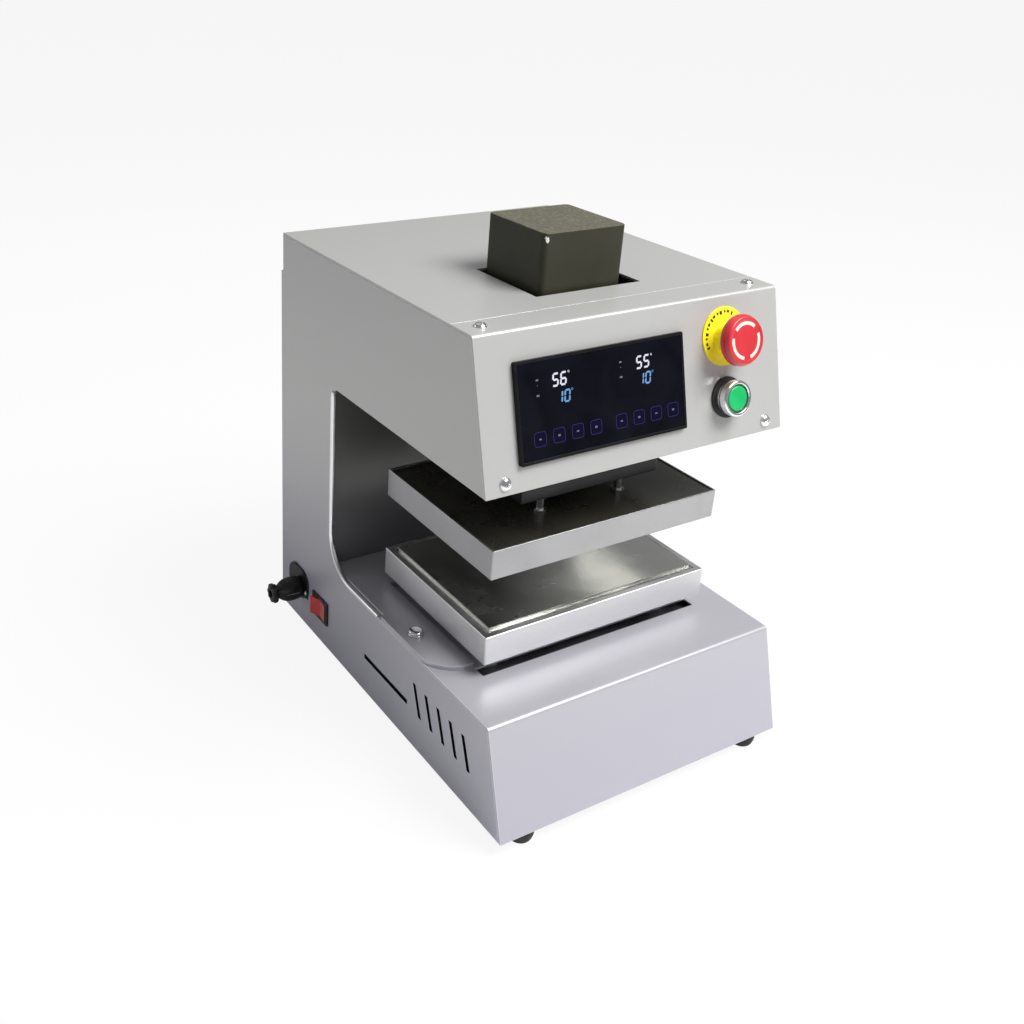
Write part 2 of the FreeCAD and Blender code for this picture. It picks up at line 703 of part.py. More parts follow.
node("ram_tube", ring("ram_tube_wall", "18", "12.5", "39.5", ("0", "ram_y", RAM_TOP)))
node("ram_nut", ring("ram_nut_body", "18", "screw_radius + running", "22", ("0", "ram_y", NUT_Z)))
rods = [rod(f"guide_rod_{number}", "guide_radius", "137", (x, "ram_y", RAM_TOP))
        for number, x in enumerate(("-guide_x", "guide_x"))]
node("guide_rods", group("guide_rod_pair", rods))
bushes = []
for number, x in enumerate(("-guide_x", "guide_x")):
    at = (x, "ram_y", "bearing_z - 22")
    sleeve = fuse(f"bush_{number}", rod(f"bush_sleeve_{number}", "13.9", "44", at),
                  rod(f"bush_flange_{number}", "19", "6", (x, "ram_y", "bearing_z - 6")))
    bore = rod(f"bush_bore_{number}", "guide_radius + running", "44", at)
    bushes.append(cut(f"guide_bush_{number}", sleeve, bore))
node("guide_bushes", group("guide_bush_pair", bushes))


# ---- screw, its bearings and its drive ----

SCREW_FOOT = "ram_plate_z + 4.5"
shaft = rod("screw_thread_part", "screw_radius", f"bearing_z - 12 - ({SCREW_FOOT})",
            ("0", "ram_y", SCREW_FOOT))
collar = rod("screw_collar", "17", "4", ("0", "ram_y", "bearing_z - 16"))
journal = rod("screw_journal", "8", "gear_z + gear_width + 2 - (bearing_z - 12)",
              ("0", "ram_y", "bearing_z - 12"))
node("lead_screw", fuse("lead_screw_whole", shaft, collar, journal))
node("thrust_race", ring("race_turning", "17", "8.05", "3.5", ("0", "ram_y", "bearing_z - 12")))
balls = [ring("race_fixed", "17", "8.6", "3.5", ("0", "ram_y", "bearing_z - 3.5"))]
for number in range(12):
    ball = doc.addObject("Part::Sphere", f"ball_{number}")
    bind(ball, Radius="2.35")
    angle = f"{number} * 30deg"
    balls.append(place(ball, (f"12.8 * cos({angle})", f"ram_y + 12.8 * sin({angle})", "bearing_z - 6")))
node("thrust_bearing", group("thrust_bearing_set", balls))
node("screw_bush", ring("bush_wall", "11.9", "8 + running", "bearing_plate", ("0", "ram_y", "bearing_z")))


def gear_wire(teeth, module, phase):
    """A spur gear's outline round the origin, with involute flanks and a little backlash."""
    pitch = teeth * module / 2
    root, tip = pitch - 1.25 * module, pitch + 0.95 * module
    base = pitch * math.cos(math.radians(20))
    half = math.pi / (2 * teeth) - 0.08 / pitch
    at_pitch = math.tan(math.radians(20)) - math.radians(20)
    points = []
    for tooth in range(teeth):
        middle = 2 * math.pi * tooth / teeth + phase
        flank = []
        for step in range(5):
            radius = max(base, root) + (tip - max(base, root)) * step / 4
            pressure = math.acos(base / radius)
            flank.append((radius, half + at_pitch - (math.tan(pressure) - pressure)))
        flank.insert(0, (root, flank[0][1]))
        sides = [(r, -a) for r, a in flank] + [(r, a) for r, a in reversed(flank)]
        for radius, angle in sides:
            angle += middle
            points.append(FreeCAD.Vector(radius * math.cos(angle), radius * math.sin(angle), 0))
    return Part.makePolygon(points + points[:1])


def gear(label, teeth, phase, bore, at):
    """A spur gear; its teeth are drawn in code because no primitive has them."""
    width = value("gear_width")
    blank = Part.Face(gear_wire(teeth, value("gear_module"), phase)).extrude(FreeCAD.Vector(0, 0, width))
    piece = doc.addObject("Part::Feature", label)
    piece.Shape = blank.cut(Part.makeCylinder(bore, width))
    piece.Placement = FreeCAD.Placement(FreeCAD.Vector(*[value(text) for text in at]), FreeCAD.Rotation())
    return piece


teeth, mating = int(value("gear_teeth")), int(value("pinion_teeth"))
MOTOR_Y = "(ram_y + (gear_teeth + pinion_teeth) * gear_module / 2)"
node("screw_gear", gear("screw_gear_teeth", teeth, 0, 8.05, ("0", "ram_y", "gear_z")))
deck_z = "gear_z + gear_width + 4"
pinion = gear("pinion_teeth_ring", mating, math.pi / mating, 2.9, ("0", MOTOR_Y, "gear_z"))
shaft = rod("motor_shaft", "3", f"{deck_z} + 5 - gear_z", ("0", MOTOR_Y, "gear_z"))
node("motor_pinion", fuse("motor_pinion_whole", shaft, pinion))
deck = centred_box("motor_deck_plate", ("cover_width - 2 * sheet", "cover_depth - 2 * sheet", "5"),
                   ("cover_x", "cover_y", deck_z))
deck = cut("motor_deck_bored", deck,
           rod("deck_shaft_hole", "5", OUT, ("0", MOTOR_Y, "0")),
           rod("deck_journal_hole", "9", OUT, ("0", "ram_y", "0")))
legs = []
for number, (x, y) in enumerate((x, y) for x in ("-34", "27") for y in ("-45.5", "9")):
    legs.append(rod(f"deck_leg_{number}", "4", f"{deck_z} + 1 - bearing_z - bearing_plate",
                    (x, y, "bearing_z + bearing_plate")))
node("motor_deck", fuse("motor_deck_whole", deck, *legs))
node("gearmotor", fuse("gearmotor_whole",
                       rod("gearmotor_box", "motor_radius", "22", ("0", MOTOR_Y, f"{deck_z} + 5")),
                       rod("gearmotor_can", "motor_radius - 1.5", "24", ("0", MOTOR_Y, f"{deck_z} + 27"))))


# ---- control panel: display, emergency stop, start button ----
# These are drawn flat, X to the right, Y up the slope and Z out of the panel.


def panel_box(name, size, middle, z):
    return centred_box(name, size, (middle[0], middle[1], z))


DISPLAY = ("display_x", "display_s")
frame = panel_box("display_frame_block", ("display_width", "display_height", "display_rim"), DISPLAY, "0")
frame = soften("display_frame_corners", frame, "1.5", upright)
tray = panel_box("display_tray", ("display_width - 8.4", "display_height - 8.4", "10"), DISPLAY, "-10")
opening = panel_box("display_opening", ("display_width - 11", "display_height - 11", OUT), DISPLAY, "-500")
recess = panel_box("display_recess", ("display_width - 5", "display_height - 5", OUT), DISPLAY, "1.5")
frame = cut("display_frame_open", fuse("display_frame_joined", frame, tray), opening, recess)
node("display_frame", on_panel(frame))
glass = panel_box("display_pane", ("display_width - 5.6", "display_height - 5.6", "1.7"), DISPLAY, "1.5")
node("display_glass", on_panel(group("display_glass_group", [glass])))
board = panel_box("board_sheet", ("display_width - 14", "display_height - 14", "1.6"), DISPLAY, "-8")
chip = panel_box("board_chip", ("22", "22", "3"), DISPLAY, "-6.4")
relay = panel_box("board_header", ("60", "8", "4"), ("display_x", "display_s - 24"), "-6.4")
node("control_board", on_panel(fuse("control_board_whole", board, chip, relay)))

STOP = ("button_x", "stop_s")
disc = rod("legend_disc", "legend_radius", "1.2", ("button_x", "stop_s + legend_rise", "0"))
legend = cut("legend", disc, rod("legend_bore", "11.5", "1.2", STOP + ("0",)))
node("estop_legend_ring", on_panel(legend))
collar = fuse("estop_collar_whole", rod("estop_collar_rim", "12.5", "collar_top - 1.2", STOP + ("1.2",)),
              rod("estop_barrel", "11", "26.2", STOP + ("-25",)))
collar = cut("estop_collar_bored", collar, rod("estop_bore", "8", "40", STOP + ("-26",)))
node("estop_collar", on_panel(collar))
node("estop_plunger", on_panel(fuse("plunger_whole", rod("plunger_rod", "5", "39", STOP + ("-26",)),
                                    rod("plunger_guide", "7.9", "14", STOP + ("-10",)))))
cap = fuse("estop_cap_whole", rod("estop_cap_neck", "12", "0.8", STOP + ("13",)),
           cone("estop_cap_flare", "17", "stop_radius", "2", STOP + ("13.8",)),
           rod("estop_cap_head", "stop_radius", "5.2", STOP + ("15.8",)),
           cone("estop_cap_crown", "stop_radius", "stop_radius - 3", "3", STOP + ("21",)))
node("estop_cap", on_panel(group("estop_cap_group", [cap])))
START = ("button_x", "start_s")
node("start_button_gasket", on_panel(ring("gasket", "rim_radius + 2.2", "11.2", "2", START + ("0",))))
bezel = fuse("start_bezel_whole", rod("start_rim", "rim_radius", "rim_top - 2", START + ("2",)),
             rod("start_barrel", "11", "27", START + ("-25",)))
bezel = cut("start_bezel_bored", bezel, rod("start_well", "11.5", "rim_top", START + ("4",)),
            rod("start_bore", "5.2", "40", START + ("-26",)))
node("start_button_bezel", on_panel(bezel))
start_cap = fuse("start_cap_whole", rod("start_cap_disc", "11.3", "3.8", START + ("rim_top - 4.6",)),
                 rod("start_cap_stem", "5.1", "rim_top + 21", START + ("-25",)))
node("start_button_cap", on_panel(start_cap))
nuts = []
for name, where in (("stop", STOP), ("start", START)):
    nut = doc.addObject("Part::Prism", f"{name}_nut_hexagon")
    nut.Polygon = 6
    bind(nut, Circumradius="15", Height="5")
    place(nut, where + ("-sheet - 5",))
    nuts.append(cut(f"{name}_nut", nut, rod(f"{name}_nut_bore", "11.05", "20", where + ("-15",))))
node("panel_locknuts", on_panel(group("locknut_pair", nuts)))
blocks = [panel_box(f"{name}_contact_block", ("24", "40", "16"), where, "-47")
          for name, where in (("stop", STOP), ("start", START))]
node("contact_blocks", on_panel(group("contact_block_pair", blocks)))


# ---- power inlet, connector and switch on the left side ----

LEFT = "-width / 2"
flange = box("inlet_flange", ("2", "41", "32"), (f"{LEFT} - 2", "inlet_y - 15.5", "inlet_z - 12"))
flange = soften("inlet_flange_corners", flange, "14", lambda edge: edge.BoundBox.XLength > 1.9)
shell = box("inlet_shell", ("22", "27", "20"), (LEFT, "inlet_y - 13.5", "inlet_z - 10"))
node("power_inlet", fuse("power_inlet_whole", flange, shell))

plug = new_body("power_connector")
profile = sketch(plug, "connector_profile", "XY_Plane")
reach = [("2", "10.6"), ("11", "11.6"), ("18", "11"), ("23.5", "8"), ("26.5", "6.2")]
outline(profile, [("0", "0"), ("0", "10.6")] + [(f"-{along}", r) for along, r in reach] + [("-26.5", "0")])
turned = plug.newObject("PartDesign::Revolution", "connector_turned")
turned.Profile = profile
turned.ReferenceAxis = (profile, ["H_Axis"])
turned.Angle = 360
place(plug, (f"{LEFT} - 2", "inlet_y", "inlet_z"))
gland = rod("gland_nut", "10", "6", (f"{LEFT} - 34.5", "inlet_y", "inlet_z"), "X")
mouth = rod("gland_mouth", "3.8", "12", (f"{LEFT} - 37.5", "inlet_y", "inlet_z"), "X")
node("power_connector", cut("power_connector_open", fuse("power_connector_whole", plug, gland), mouth))

bezel = box("rocker_bezel", ("2", "rocker_length", "rocker_height"),
            (f"{LEFT} - 2", "rocker_y - rocker_length / 2", "rocker_z - rocker_height / 2"))
case = box("rocker_case", ("22", "rocker_length - 4.4", "rocker_height - 4.4"),
           (LEFT, "rocker_y - rocker_length / 2 + 2.2", "rocker_z - rocker_height / 2 + 2.2"))
well = box("rocker_well", ("12", "rocker_length - 6", "rocker_height - 6"),
           (f"{LEFT} - 2", "rocker_y - rocker_length / 2 + 3", "rocker_z - rocker_height / 2 + 3"))
node("rocker_frame", cut("rocker_frame_open", fuse("rocker_frame_whole", bezel, case), well))

paddle = new_body("rocker_paddle")
profile = sketch(paddle, "paddle_profile", "XY_Plane")
outline(profile, [("-4.6", "-11.7"), ("-1.4", "0"), ("-4.6", "11.7"), ("-0.6", "11.7"), ("5", "0"),
                  ("-0.6", "-11.7")])
pad(paddle, profile, "rocker_height - 6.6", symmetric=True)
place(paddle, (LEFT, "rocker_y", "rocker_z"), ((0, 0, 1), "9"))
pivot = rod("rocker_pivot", "1.2", "rocker_height - 6.2",
            (LEFT, "rocker_y", "rocker_z - (rocker_height - 6.2) / 2"))
node("rocker_paddle", fuse("rocker_paddle_pivoted", paddle, pivot))


# ---- electrics inside the base, and fasteners ----

case = box("supply_case", ("120", "98", "38"), ("-60", "-75", "foot_height + sheet"))
terminals = box("supply_terminals", ("110", "10", "12"), ("-55", "23", "foot_height + sheet"))
node("power_supply", fuse("power_supply_whole", case, terminals))
relays = [box(f"relay_{number}", ("45", "58", "26"), (x, "60", "foot_height + sheet"))
          for number, x in enumerate(("-60", "15"))]
node("heater_relays", group("relay_pair", relays))


def button_screw(name, shank, axis_at, axis="Z"):
    """A button-head screw standing on Z or Y: a low head over a thin shank."""
    x, y, z = axis_at
    if axis == "Z":
        head = cone(f"{name}_head", "head_radius", "head_radius * 0.6", "2.6", (x, y, z))
        stem = rod(f"{name}_shank", "2.5", shank, (x, y, f"{z} - {shank}"))
    else:
        head = cone(f"{name}_head", "head_radius", "head_radius * 0.6", "2.6", (x, y, z), "Y")
        stem = rod(f"{name}_shank", "2.5", shank, (x, f"{y} - {shank}", z), "Y")
    return fuse(name, head, stem)


panel_screws = [button_screw(f"panel_screw_{side}", "1.9", (x, "screw_s", "0"))
                for side, x in (("left", "-screw_x"), ("right", "screw_x"))]
face_screws = on_panel(group("panel_screw_pair", panel_screws))
top_screws = [cone(f"top_screw_{side}", "head_radius", "head_radius * 0.6", "2.6", (x, "-101", "head_top"))
              for side, x in (("left", "-screw_x - 1"), ("right", "screw_x + 1"))]
rear_screws = []
for number, (x, z) in enumerate((x, z) for x in ("-138", "138") for z in ("32", "193", "354")):
    at = (x, "rear_y + rear_cover_depth", z)
    rear_screws.append(cone(f"rear_screw_{number}", "head_radius", "head_radius * 0.6", "2.6", at, "Y"))
node("cover_screws", group("cover_screw_set", [face_screws] + top_screws + rear_screws))
bolts = []
for number, x in enumerate(("-137", "137")):
    head = rod(f"bed_bolt_{number}", "6.8", "2.4", (x, "-43", "base_top + bed_sheet"))
    dome = cone(f"bed_bolt_dome_{number}", "6.8", "4.4", "2.6", (x, "-43", "base_top + bed_sheet + 2.4"))
    bolts.append(fuse(f"bed_bolt_whole_{number}", head, dome))
node("bed_plate_bolts", group("bed_bolt_pair", bolts))


# ---- checks and output ----

doc.recompute()
for piece in doc.Objects:
    if "Invalid" in piece.State or "Error" in piece.State:
        raise RuntimeError(f"{piece.Name} failed: {piece.State}")
    if piece.TypeId == "PartDesign::Pocket" and piece.BaseFeature:
        if piece.Shape.Volume >= piece.BaseFeature.Shape.Volume - 1:
            raise RuntimeError(f"{piece.Name} cuts nothing")
os.makedirs("parts", exist_ok=True)
for label, piece in NODES.items():
    if piece.Shape.isNull() or not piece.Shape.isValid():
        raise RuntimeError(f"{label} has no valid shape")
    piece.Shape.exportStep(f"parts/{label}.step")
print(len(NODES), "nodes written")
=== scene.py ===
import json
import math

import bmesh
import bpy
from bpy.props import FloatProperty, FloatVectorProperty, IntProperty, PointerProperty
from mathutils import Matrix, Vector


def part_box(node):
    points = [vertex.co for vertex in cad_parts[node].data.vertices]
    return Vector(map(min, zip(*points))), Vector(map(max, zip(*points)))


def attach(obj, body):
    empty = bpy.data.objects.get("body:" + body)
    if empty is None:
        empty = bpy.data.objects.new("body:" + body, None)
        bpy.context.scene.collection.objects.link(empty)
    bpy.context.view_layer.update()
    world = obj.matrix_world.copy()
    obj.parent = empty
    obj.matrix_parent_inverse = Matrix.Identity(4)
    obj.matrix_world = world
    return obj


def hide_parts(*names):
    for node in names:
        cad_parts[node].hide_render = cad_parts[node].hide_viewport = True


bl_info = {
    "name": "Heated Stamping Press",
    "version": (1, 0, 0),
    "blender": (4, 5, 0),
    "location": "3D View > Sidebar > Press",
    "description": "Builds the looks of a bench-top stamping press round its CAD frame",
    "category": "Object",
}

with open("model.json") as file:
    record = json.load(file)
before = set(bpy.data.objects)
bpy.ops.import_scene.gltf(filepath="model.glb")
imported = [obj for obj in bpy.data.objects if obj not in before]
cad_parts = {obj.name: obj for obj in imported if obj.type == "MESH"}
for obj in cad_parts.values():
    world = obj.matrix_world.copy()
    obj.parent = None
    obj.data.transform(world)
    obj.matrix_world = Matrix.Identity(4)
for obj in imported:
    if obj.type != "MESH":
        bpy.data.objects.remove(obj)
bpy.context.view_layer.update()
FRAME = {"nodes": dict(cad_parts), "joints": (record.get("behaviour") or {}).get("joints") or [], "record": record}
MM = 0.001


# ---- places read from the frame ----


def box(node):
    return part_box(node)


def middle(node):
    low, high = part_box(node)
    return (low + high) / 2


def panel_frame():
    """The control panel's own axes: X right, Y up the slope, Z out, from the middle of its lower edge."""
    push = next(j for j in FRAME["joints"] if j["name"] == "start_push")
    out = -Vector(push["axis"]).normalized()
    across = Vector((1, 0, 0))
    up = out.cross(across)
    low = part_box("front_panel")[0]
    origin = Vector((0, low.y, low.z))
    turn = Matrix((across, up, out)).transposed().to_4x4()
    return Matrix.Translation(origin) @ turn


PANEL = panel_frame()


def on_panel(node):
    """The middle of a node in the panel's axes, at the panel's face."""
    place = PANEL.inverted() @ middle(node)
    return Vector((place.x, place.y, 0))


def panel_span(node):
    """Lowest and highest corner of a node in the panel's axes."""
    back = PANEL.inverted()
    points = [back @ v.co for v in FRAME["nodes"][node].data.vertices]
    low = Vector([min(p[i] for p in points) for i in range(3)])
    high = Vector([max(p[i] for p in points) for i in range(3)])
    return low, high


def islands(node):
    """Box of each separate solid of a node, in a steady order."""
    mesh = bmesh.new()
    mesh.from_mesh(FRAME["nodes"][node].data)
    bmesh.ops.remove_doubles(mesh, verts=mesh.verts, dist=1e-6)
    left = set(mesh.verts)
    boxes = []
    while left:
        stack = [left.pop()]
        found = [stack[0]]
        while stack:
            for edge in stack.pop().link_edges:
                for vert in edge.verts:
                    if vert in left:
                        left.remove(vert)
                        stack.append(vert)
                        found.append(vert)
        low = Vector([min(v.co[i] for v in found) for i in range(3)])
        high = Vector([max(v.co[i] for v in found) for i in range(3)])
        boxes.append((low, high))
    mesh.free()
    return sorted(boxes, key=lambda b: tuple(round(c, 4) for c in b[0]))


# ---- mesh work ----


def add_piece(name, mesh, material, body, stands_for=(), sharp=35):
    """Turn a bmesh into a finished piece that rides on a body."""
    bmesh.ops.recalc_face_normals(mesh, faces=mesh.faces)
    for face in mesh.faces:
        face.smooth = True
    data = bpy.data.meshes.new(name)
    mesh.to_mesh(data)
    mesh.free()
    data.set_sharp_from_angle(angle=math.radians(sharp))
    data.materials.append(material)
    piece = bpy.data.objects.new(name, data)
    bpy.context.scene.collection.objects.link(piece)
    even = piece.modifiers.new("flat_faces_stay_flat", "WEIGHTED_NORMAL")
    even.keep_sharp = True
    even.weight = 100
    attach(piece, body)
    if stands_for:
        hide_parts(*stands_for)
    return piece


def joined(parts):
    """One bmesh from several."""
    whole = bmesh.new()
    for part in parts:
        data = bpy.data.meshes.new("part")
        part.to_mesh(data)
        part.free()
        whole.from_mesh(data)
        bpy.data.meshes.remove(data)
    return whole


def softened(node, width, segments=2, angle=30, edge_slot=-1):
    """A node's own mesh with its sharp edges rounded; the rounding may take a material slot."""
    mesh = bmesh.new()
    mesh.from_mesh(FRAME["nodes"][node].data)
    bmesh.ops.remove_doubles(mesh, verts=mesh.verts, dist=2e-6)
    bmesh.ops.dissolve_limit(mesh, angle_limit=math.radians(0.4), verts=mesh.verts, edges=mesh.edges)
    edges = [e for e in mesh.edges
             if len(e.link_faces) == 2 and e.calc_face_angle(0) > math.radians(angle)]
    bmesh.ops.bevel(mesh, geom=edges, offset=width, offset_type="OFFSET", segments=segments,
                    profile=0.5, affect="EDGES", clamp_overlap=True, material=edge_slot)
    return mesh


def dress(node, material, body, width=0.4 * MM, segments=2, angle=30, edge=None):
    """A node with rounded edges; the rounding may take a material of its own, which paints a highlight along the
    folds.
    """
    mesh = softened(node, width, segments, angle, 1 if edge else -1)
    piece = add_piece(node + "_finish", mesh, material, body, (node,))
    if edge:
        piece.data.materials.append(edge)
    return piece


def rounded(points, radius, steps=4):
    """A profile with its inner corners rounded."""
    result = [points[0]]
    for before, corner, after in zip(points, points[1:], points[2:]):
        a, p, b = Vector(before), Vector(corner), Vector(after)
        reach = min(radius, (a - p).length * 0.45, (b - p).length * 0.45)
        start = p + (a - p).normalized() * reach
        end = p + (b - p).normalized() * reach
        for step in range(steps + 1):
            t = step / steps
            result.append(tuple(start * (1 - t) ** 2 + p * 2 * t * (1 - t) + end * t ** 2))
    result.append(points[-1])
    return result


def lathe(profile, place, segments=96, shape=None):
    """A solid turned from (radius, height) points; shape(angle, radius, height) may bend the radius."""
    mesh = bmesh.new()
    rings = []
    for radius, height in profile:
        if radius < 1e-7:
            rings.append([mesh.verts.new(place @ Vector((0, 0, height)))])
            continue
        ring = []
        for number in range(segments):
            angle = 2 * math.pi * number / segments
            reach = shape(angle, radius, height) if shape else radius
            point = Vector((reach * math.cos(angle), reach * math.sin(angle), height))
            ring.append(mesh.verts.new(place @ point))
        rings.append(ring)
    for low, high in zip(rings, rings[1:]):
        for number in range(segments):
            following = (number + 1) % segments
            if len(low) == 1 and len(high) > 1:
                mesh.faces.new((low[0], high[following], high[number]))
            elif len(high) == 1 and len(low) > 1:
                mesh.faces.new((low[number], low[following], high[0]))
            elif len(low) > 1:
                mesh.faces.new((low[number], low[following], high[following], high[number]))
    return mesh


def slab(outline, low, high, place, bevel=0.0, segments=2):
    """A flat outline raised from low to high, with its upper edge rounded."""
    mesh = bmesh.new()
    bottom = [mesh.verts.new(place @ Vector((x, y, low))) for x, y in outline]
    top = [mesh.verts.new(place @ Vector((x, y, high))) for x, y in outline]
    count = len(outline)
    for number in range(count):
        following = (number + 1) % count
        mesh.faces.new((bottom[number], bottom[following], top[following], top[number]))
    mesh.faces.new(top)
    mesh.faces.new(list(reversed(bottom)))
    if bevel:
        rim = [e for e in mesh.edges if e.verts[0] in top and e.verts[1] in top]
        bmesh.ops.bevel(mesh, geom=rim, offset=bevel, offset_type="OFFSET", segments=segments,
                        profile=0.5, affect="EDGES", clamp_overlap=True)
    return mesh


def rounded_rectangle(x, y, width, height, radius, steps=5):
    points = []
    corners = ((1, 1, 0), (-1, 1, 90), (-1, -1, 180), (1, -1, 270))
    for side_x, side_y, start in corners:
        centre_x = x + side_x * (width / 2 - radius)
        centre_y = y + side_y * (height / 2 - radius)
        for step in range(steps + 1):
            angle = math.radians(start + 90 * step / steps)
            points.append((centre_x + radius * math.cos(angle), centre_y + radius * math.sin(angle)))
    return points


def band(inner, outer, start, end, steps=24):
    """Outline of a curved band between two angles in degrees."""
    angles = [math.radians(start + (end - start) * k / steps) for k in range(steps + 1)]
    far = [(outer * math.cos(a), outer * math.sin(a)) for a in angles]
    near = [(inner * math.cos(a), inner * math.sin(a)) for a in reversed(angles)]
    return far + near


def screw_head(place, radius, height, socket):
    """A domed head with a six-sided socket."""
    dome = [(radius * 0.97, 0), (radius, height * 0.12), (radius * 0.97, height * 0.35),
            (radius * 0.86, height * 0.68), (radius * 0.70, height * 0.9), (radius * 0.58, height)]
    hexed = [(socket * 1.08, height * 0.99), (socket, height * 0.9), (socket * 0.98, height * 0.2),
             (0, height * 0.15)]

    def six_sided(angle, reach, level):
        if reach > socket * 1.2:
            return reach
        turn = (angle + math.pi / 6) % (math.pi / 3) - math.pi / 6
        return reach * math.cos(math.pi / 6) / math.cos(turn) * 1.08

    return lathe([(0, 0)] + dome + hexed, place, 72, six_sided)


# ---- shader building ----


def node_in(tree, kind, at=(0, 0), **settings):
    made = tree.nodes.new(kind)
    made.location = at
    for name, value in settings.items():
        setattr(made, name, value)
    return made


def new_group(name, inputs, outputs):
    """An empty shader node group with its sockets, and its two end nodes."""
    tree = bpy.data.node_groups.new(name, "ShaderNodeTree")
    for label, kind, default in inputs:
        socket = tree.interface.new_socket(name=label, in_out="INPUT", socket_type=kind)
        socket.default_value = default
    for label, kind in outputs:
        tree.interface.new_socket(name=label, in_out="OUTPUT", socket_type=kind)
    start = node_in(tree, "NodeGroupInput", (-700, 0))
    end = node_in(tree, "NodeGroupOutput", (500, 0))
    return tree, start, end


def maths(tree, operation, first, second=None, at=(0, 0), clamp=False):
    made = node_in(tree, "ShaderNodeMath", at, operation=operation, use_clamp=clamp)
    for number, source in enumerate((first, second)):
        if source is None:
            continue
        if isinstance(source, (int, float)):
            made.inputs[number].default_value = source
        else:
            tree.links.new(source, made.inputs[number])
    return made.outputs[0]


def spread(tree, source, low, high, to_low=0.0, to_high=1.0, at=(0, 0)):
    made = node_in(tree, "ShaderNodeMapRange", at)
    tree.links.new(source, made.inputs["Value"])
    for name, value in (("From Min", low), ("From Max", high), ("To Min", to_low), ("To Max", to_high)):
        made.inputs[name].default_value = value
    return made.outputs["Result"]


def paint_grain():
    """Fine powder-coat texture: small bumps, and flakes that lighten and darken."""
    tree, start, end = new_group(
        "paint_grain", [("Scale", "NodeSocketFloat", 900.0)],
        [("Height", "NodeSocketFloat"), ("Flakes", "NodeSocketFloat")])
    where = node_in(tree, "ShaderNodeTexCoord", (-700, -200)).outputs["Object"]
    bumps = node_in(tree, "ShaderNodeTexNoise", (-400, 100))
    bumps.inputs["Detail"].default_value = 3
    flakes = node_in(tree, "ShaderNodeTexVoronoi", (-400, -200))
    double = maths(tree, "MULTIPLY", start.outputs["Scale"], 2.6, (-550, -300))
    tree.links.new(where, bumps.inputs["Vector"])
    tree.links.new(where, flakes.inputs["Vector"])
    tree.links.new(start.outputs["Scale"], bumps.inputs["Scale"])
    tree.links.new(double, flakes.inputs["Scale"])
    grey = node_in(tree, "ShaderNodeRGBToBW", (-200, -200))
    tree.links.new(flakes.outputs["Color"], grey.inputs[0])
    tree.links.new(bumps.outputs["Fac"], end.inputs["Height"])
    tree.links.new(grey.outputs[0], end.inputs["Flakes"])
    return tree


def brushed_grain():
    """Long fine scratches along X, as ground or brushed metal has."""
    tree, start, end = new_group(
        "brushed_grain", [("Across", "NodeSocketVector", (40.0, 2500.0, 2500.0))],
        [("Height", "NodeSocketFloat"), ("Streaks", "NodeSocketFloat")])
    where = node_in(tree, "ShaderNodeTexCoord", (-700, -200)).outputs["Object"]
    stretch = node_in(tree, "ShaderNodeVectorMath", (-500, 0), operation="MULTIPLY")
    tree.links.new(where, stretch.inputs[0])
    tree.links.new(start.outputs["Across"], stretch.inputs[1])
    lines = node_in(tree, "ShaderNodeTexNoise", (-300, 0))
    lines.inputs["Scale"].default_value = 1.0
    lines.inputs["Detail"].default_value = 4
    tree.links.new(stretch.outputs[0], lines.inputs["Vector"])
    tree.links.new(lines.outputs["Fac"], end.inputs["Height"])
    tree.links.new(spread(tree, lines.outputs["Fac"], 0.3, 0.7, at=(0, -150)), end.inputs["Streaks"])
    return tree


def handling():
    """Large soft smears, for roughness and for faint changes of tone."""
    tree, start, end = new_group(
        "handling", [("Scale", "NodeSocketFloat", 14.0)], [("Smears", "NodeSocketFloat")])
    where = node_in(tree, "ShaderNodeTexCoord", (-700, -200)).outputs["Object"]
    broad = node_in(tree, "ShaderNodeTexNoise", (-400, 0))
    broad.inputs["Detail"].default_value = 5
    broad.inputs["Distortion"].default_value = 0.6
    tree.links.new(where, broad.inputs["Vector"])
    tree.links.new(start.outputs["Scale"], broad.inputs["Scale"])
    tree.links.new(spread(tree, broad.outputs["Fac"], 0.35, 0.68, at=(0, 0)), end.inputs["Smears"])
    return tree


def dust():
    """A light settling of dust on faces that look up; on the motor cover this mask is painted top light."""
    tree, start, end = new_group(
        "dust", [("Amount", "NodeSocketFloat", 1.0)], [("Dust And Top Light", "NodeSocketFloat")])
    where = node_in(tree, "ShaderNodeTexCoord", (-700, -200))
    split = node_in(tree, "ShaderNodeSeparateXYZ", (-500, 200))
    tree.links.new(where.outputs["Normal"], split.inputs[0])
    up = spread(tree, split.outputs["Z"], 0.6, 1.0, at=(-300, 200))
    grains = node_in(tree, "ShaderNodeTexNoise", (-400, -100))
    grains.inputs["Scale"].default_value = 420
    grains.inputs["Detail"].default_value = 2
    tree.links.new(where.outputs["Object"], grains.inputs["Vector"])
    spots = spread(tree, grains.outputs["Fac"], 0.5, 0.9, at=(-200, -100))
    amount = maths(tree, "MULTIPLY", up, start.outputs["Amount"], (0, 200))
    tree.links.new(maths(tree, "MULTIPLY", amount, spots, (200, 0)), end.inputs["Dust And Top Light"])
    return tree


GROUP_MAKERS = {
    "paint_grain": paint_grain,
    "brushed_grain": brushed_grain,
    "handling": handling,
    "dust": dust,
}


def effect(material, name, **values):
    """Place an effect group in a material, with this material's own values."""
    tree = bpy.data.node_groups.get(name) or GROUP_MAKERS[name]()
    placed = node_in(material.node_tree, "ShaderNodeGroup", (-900, 0), node_tree=tree)
    for label, value in values.items():
        placed.inputs[label.capitalize()].default_value = value
    return placed


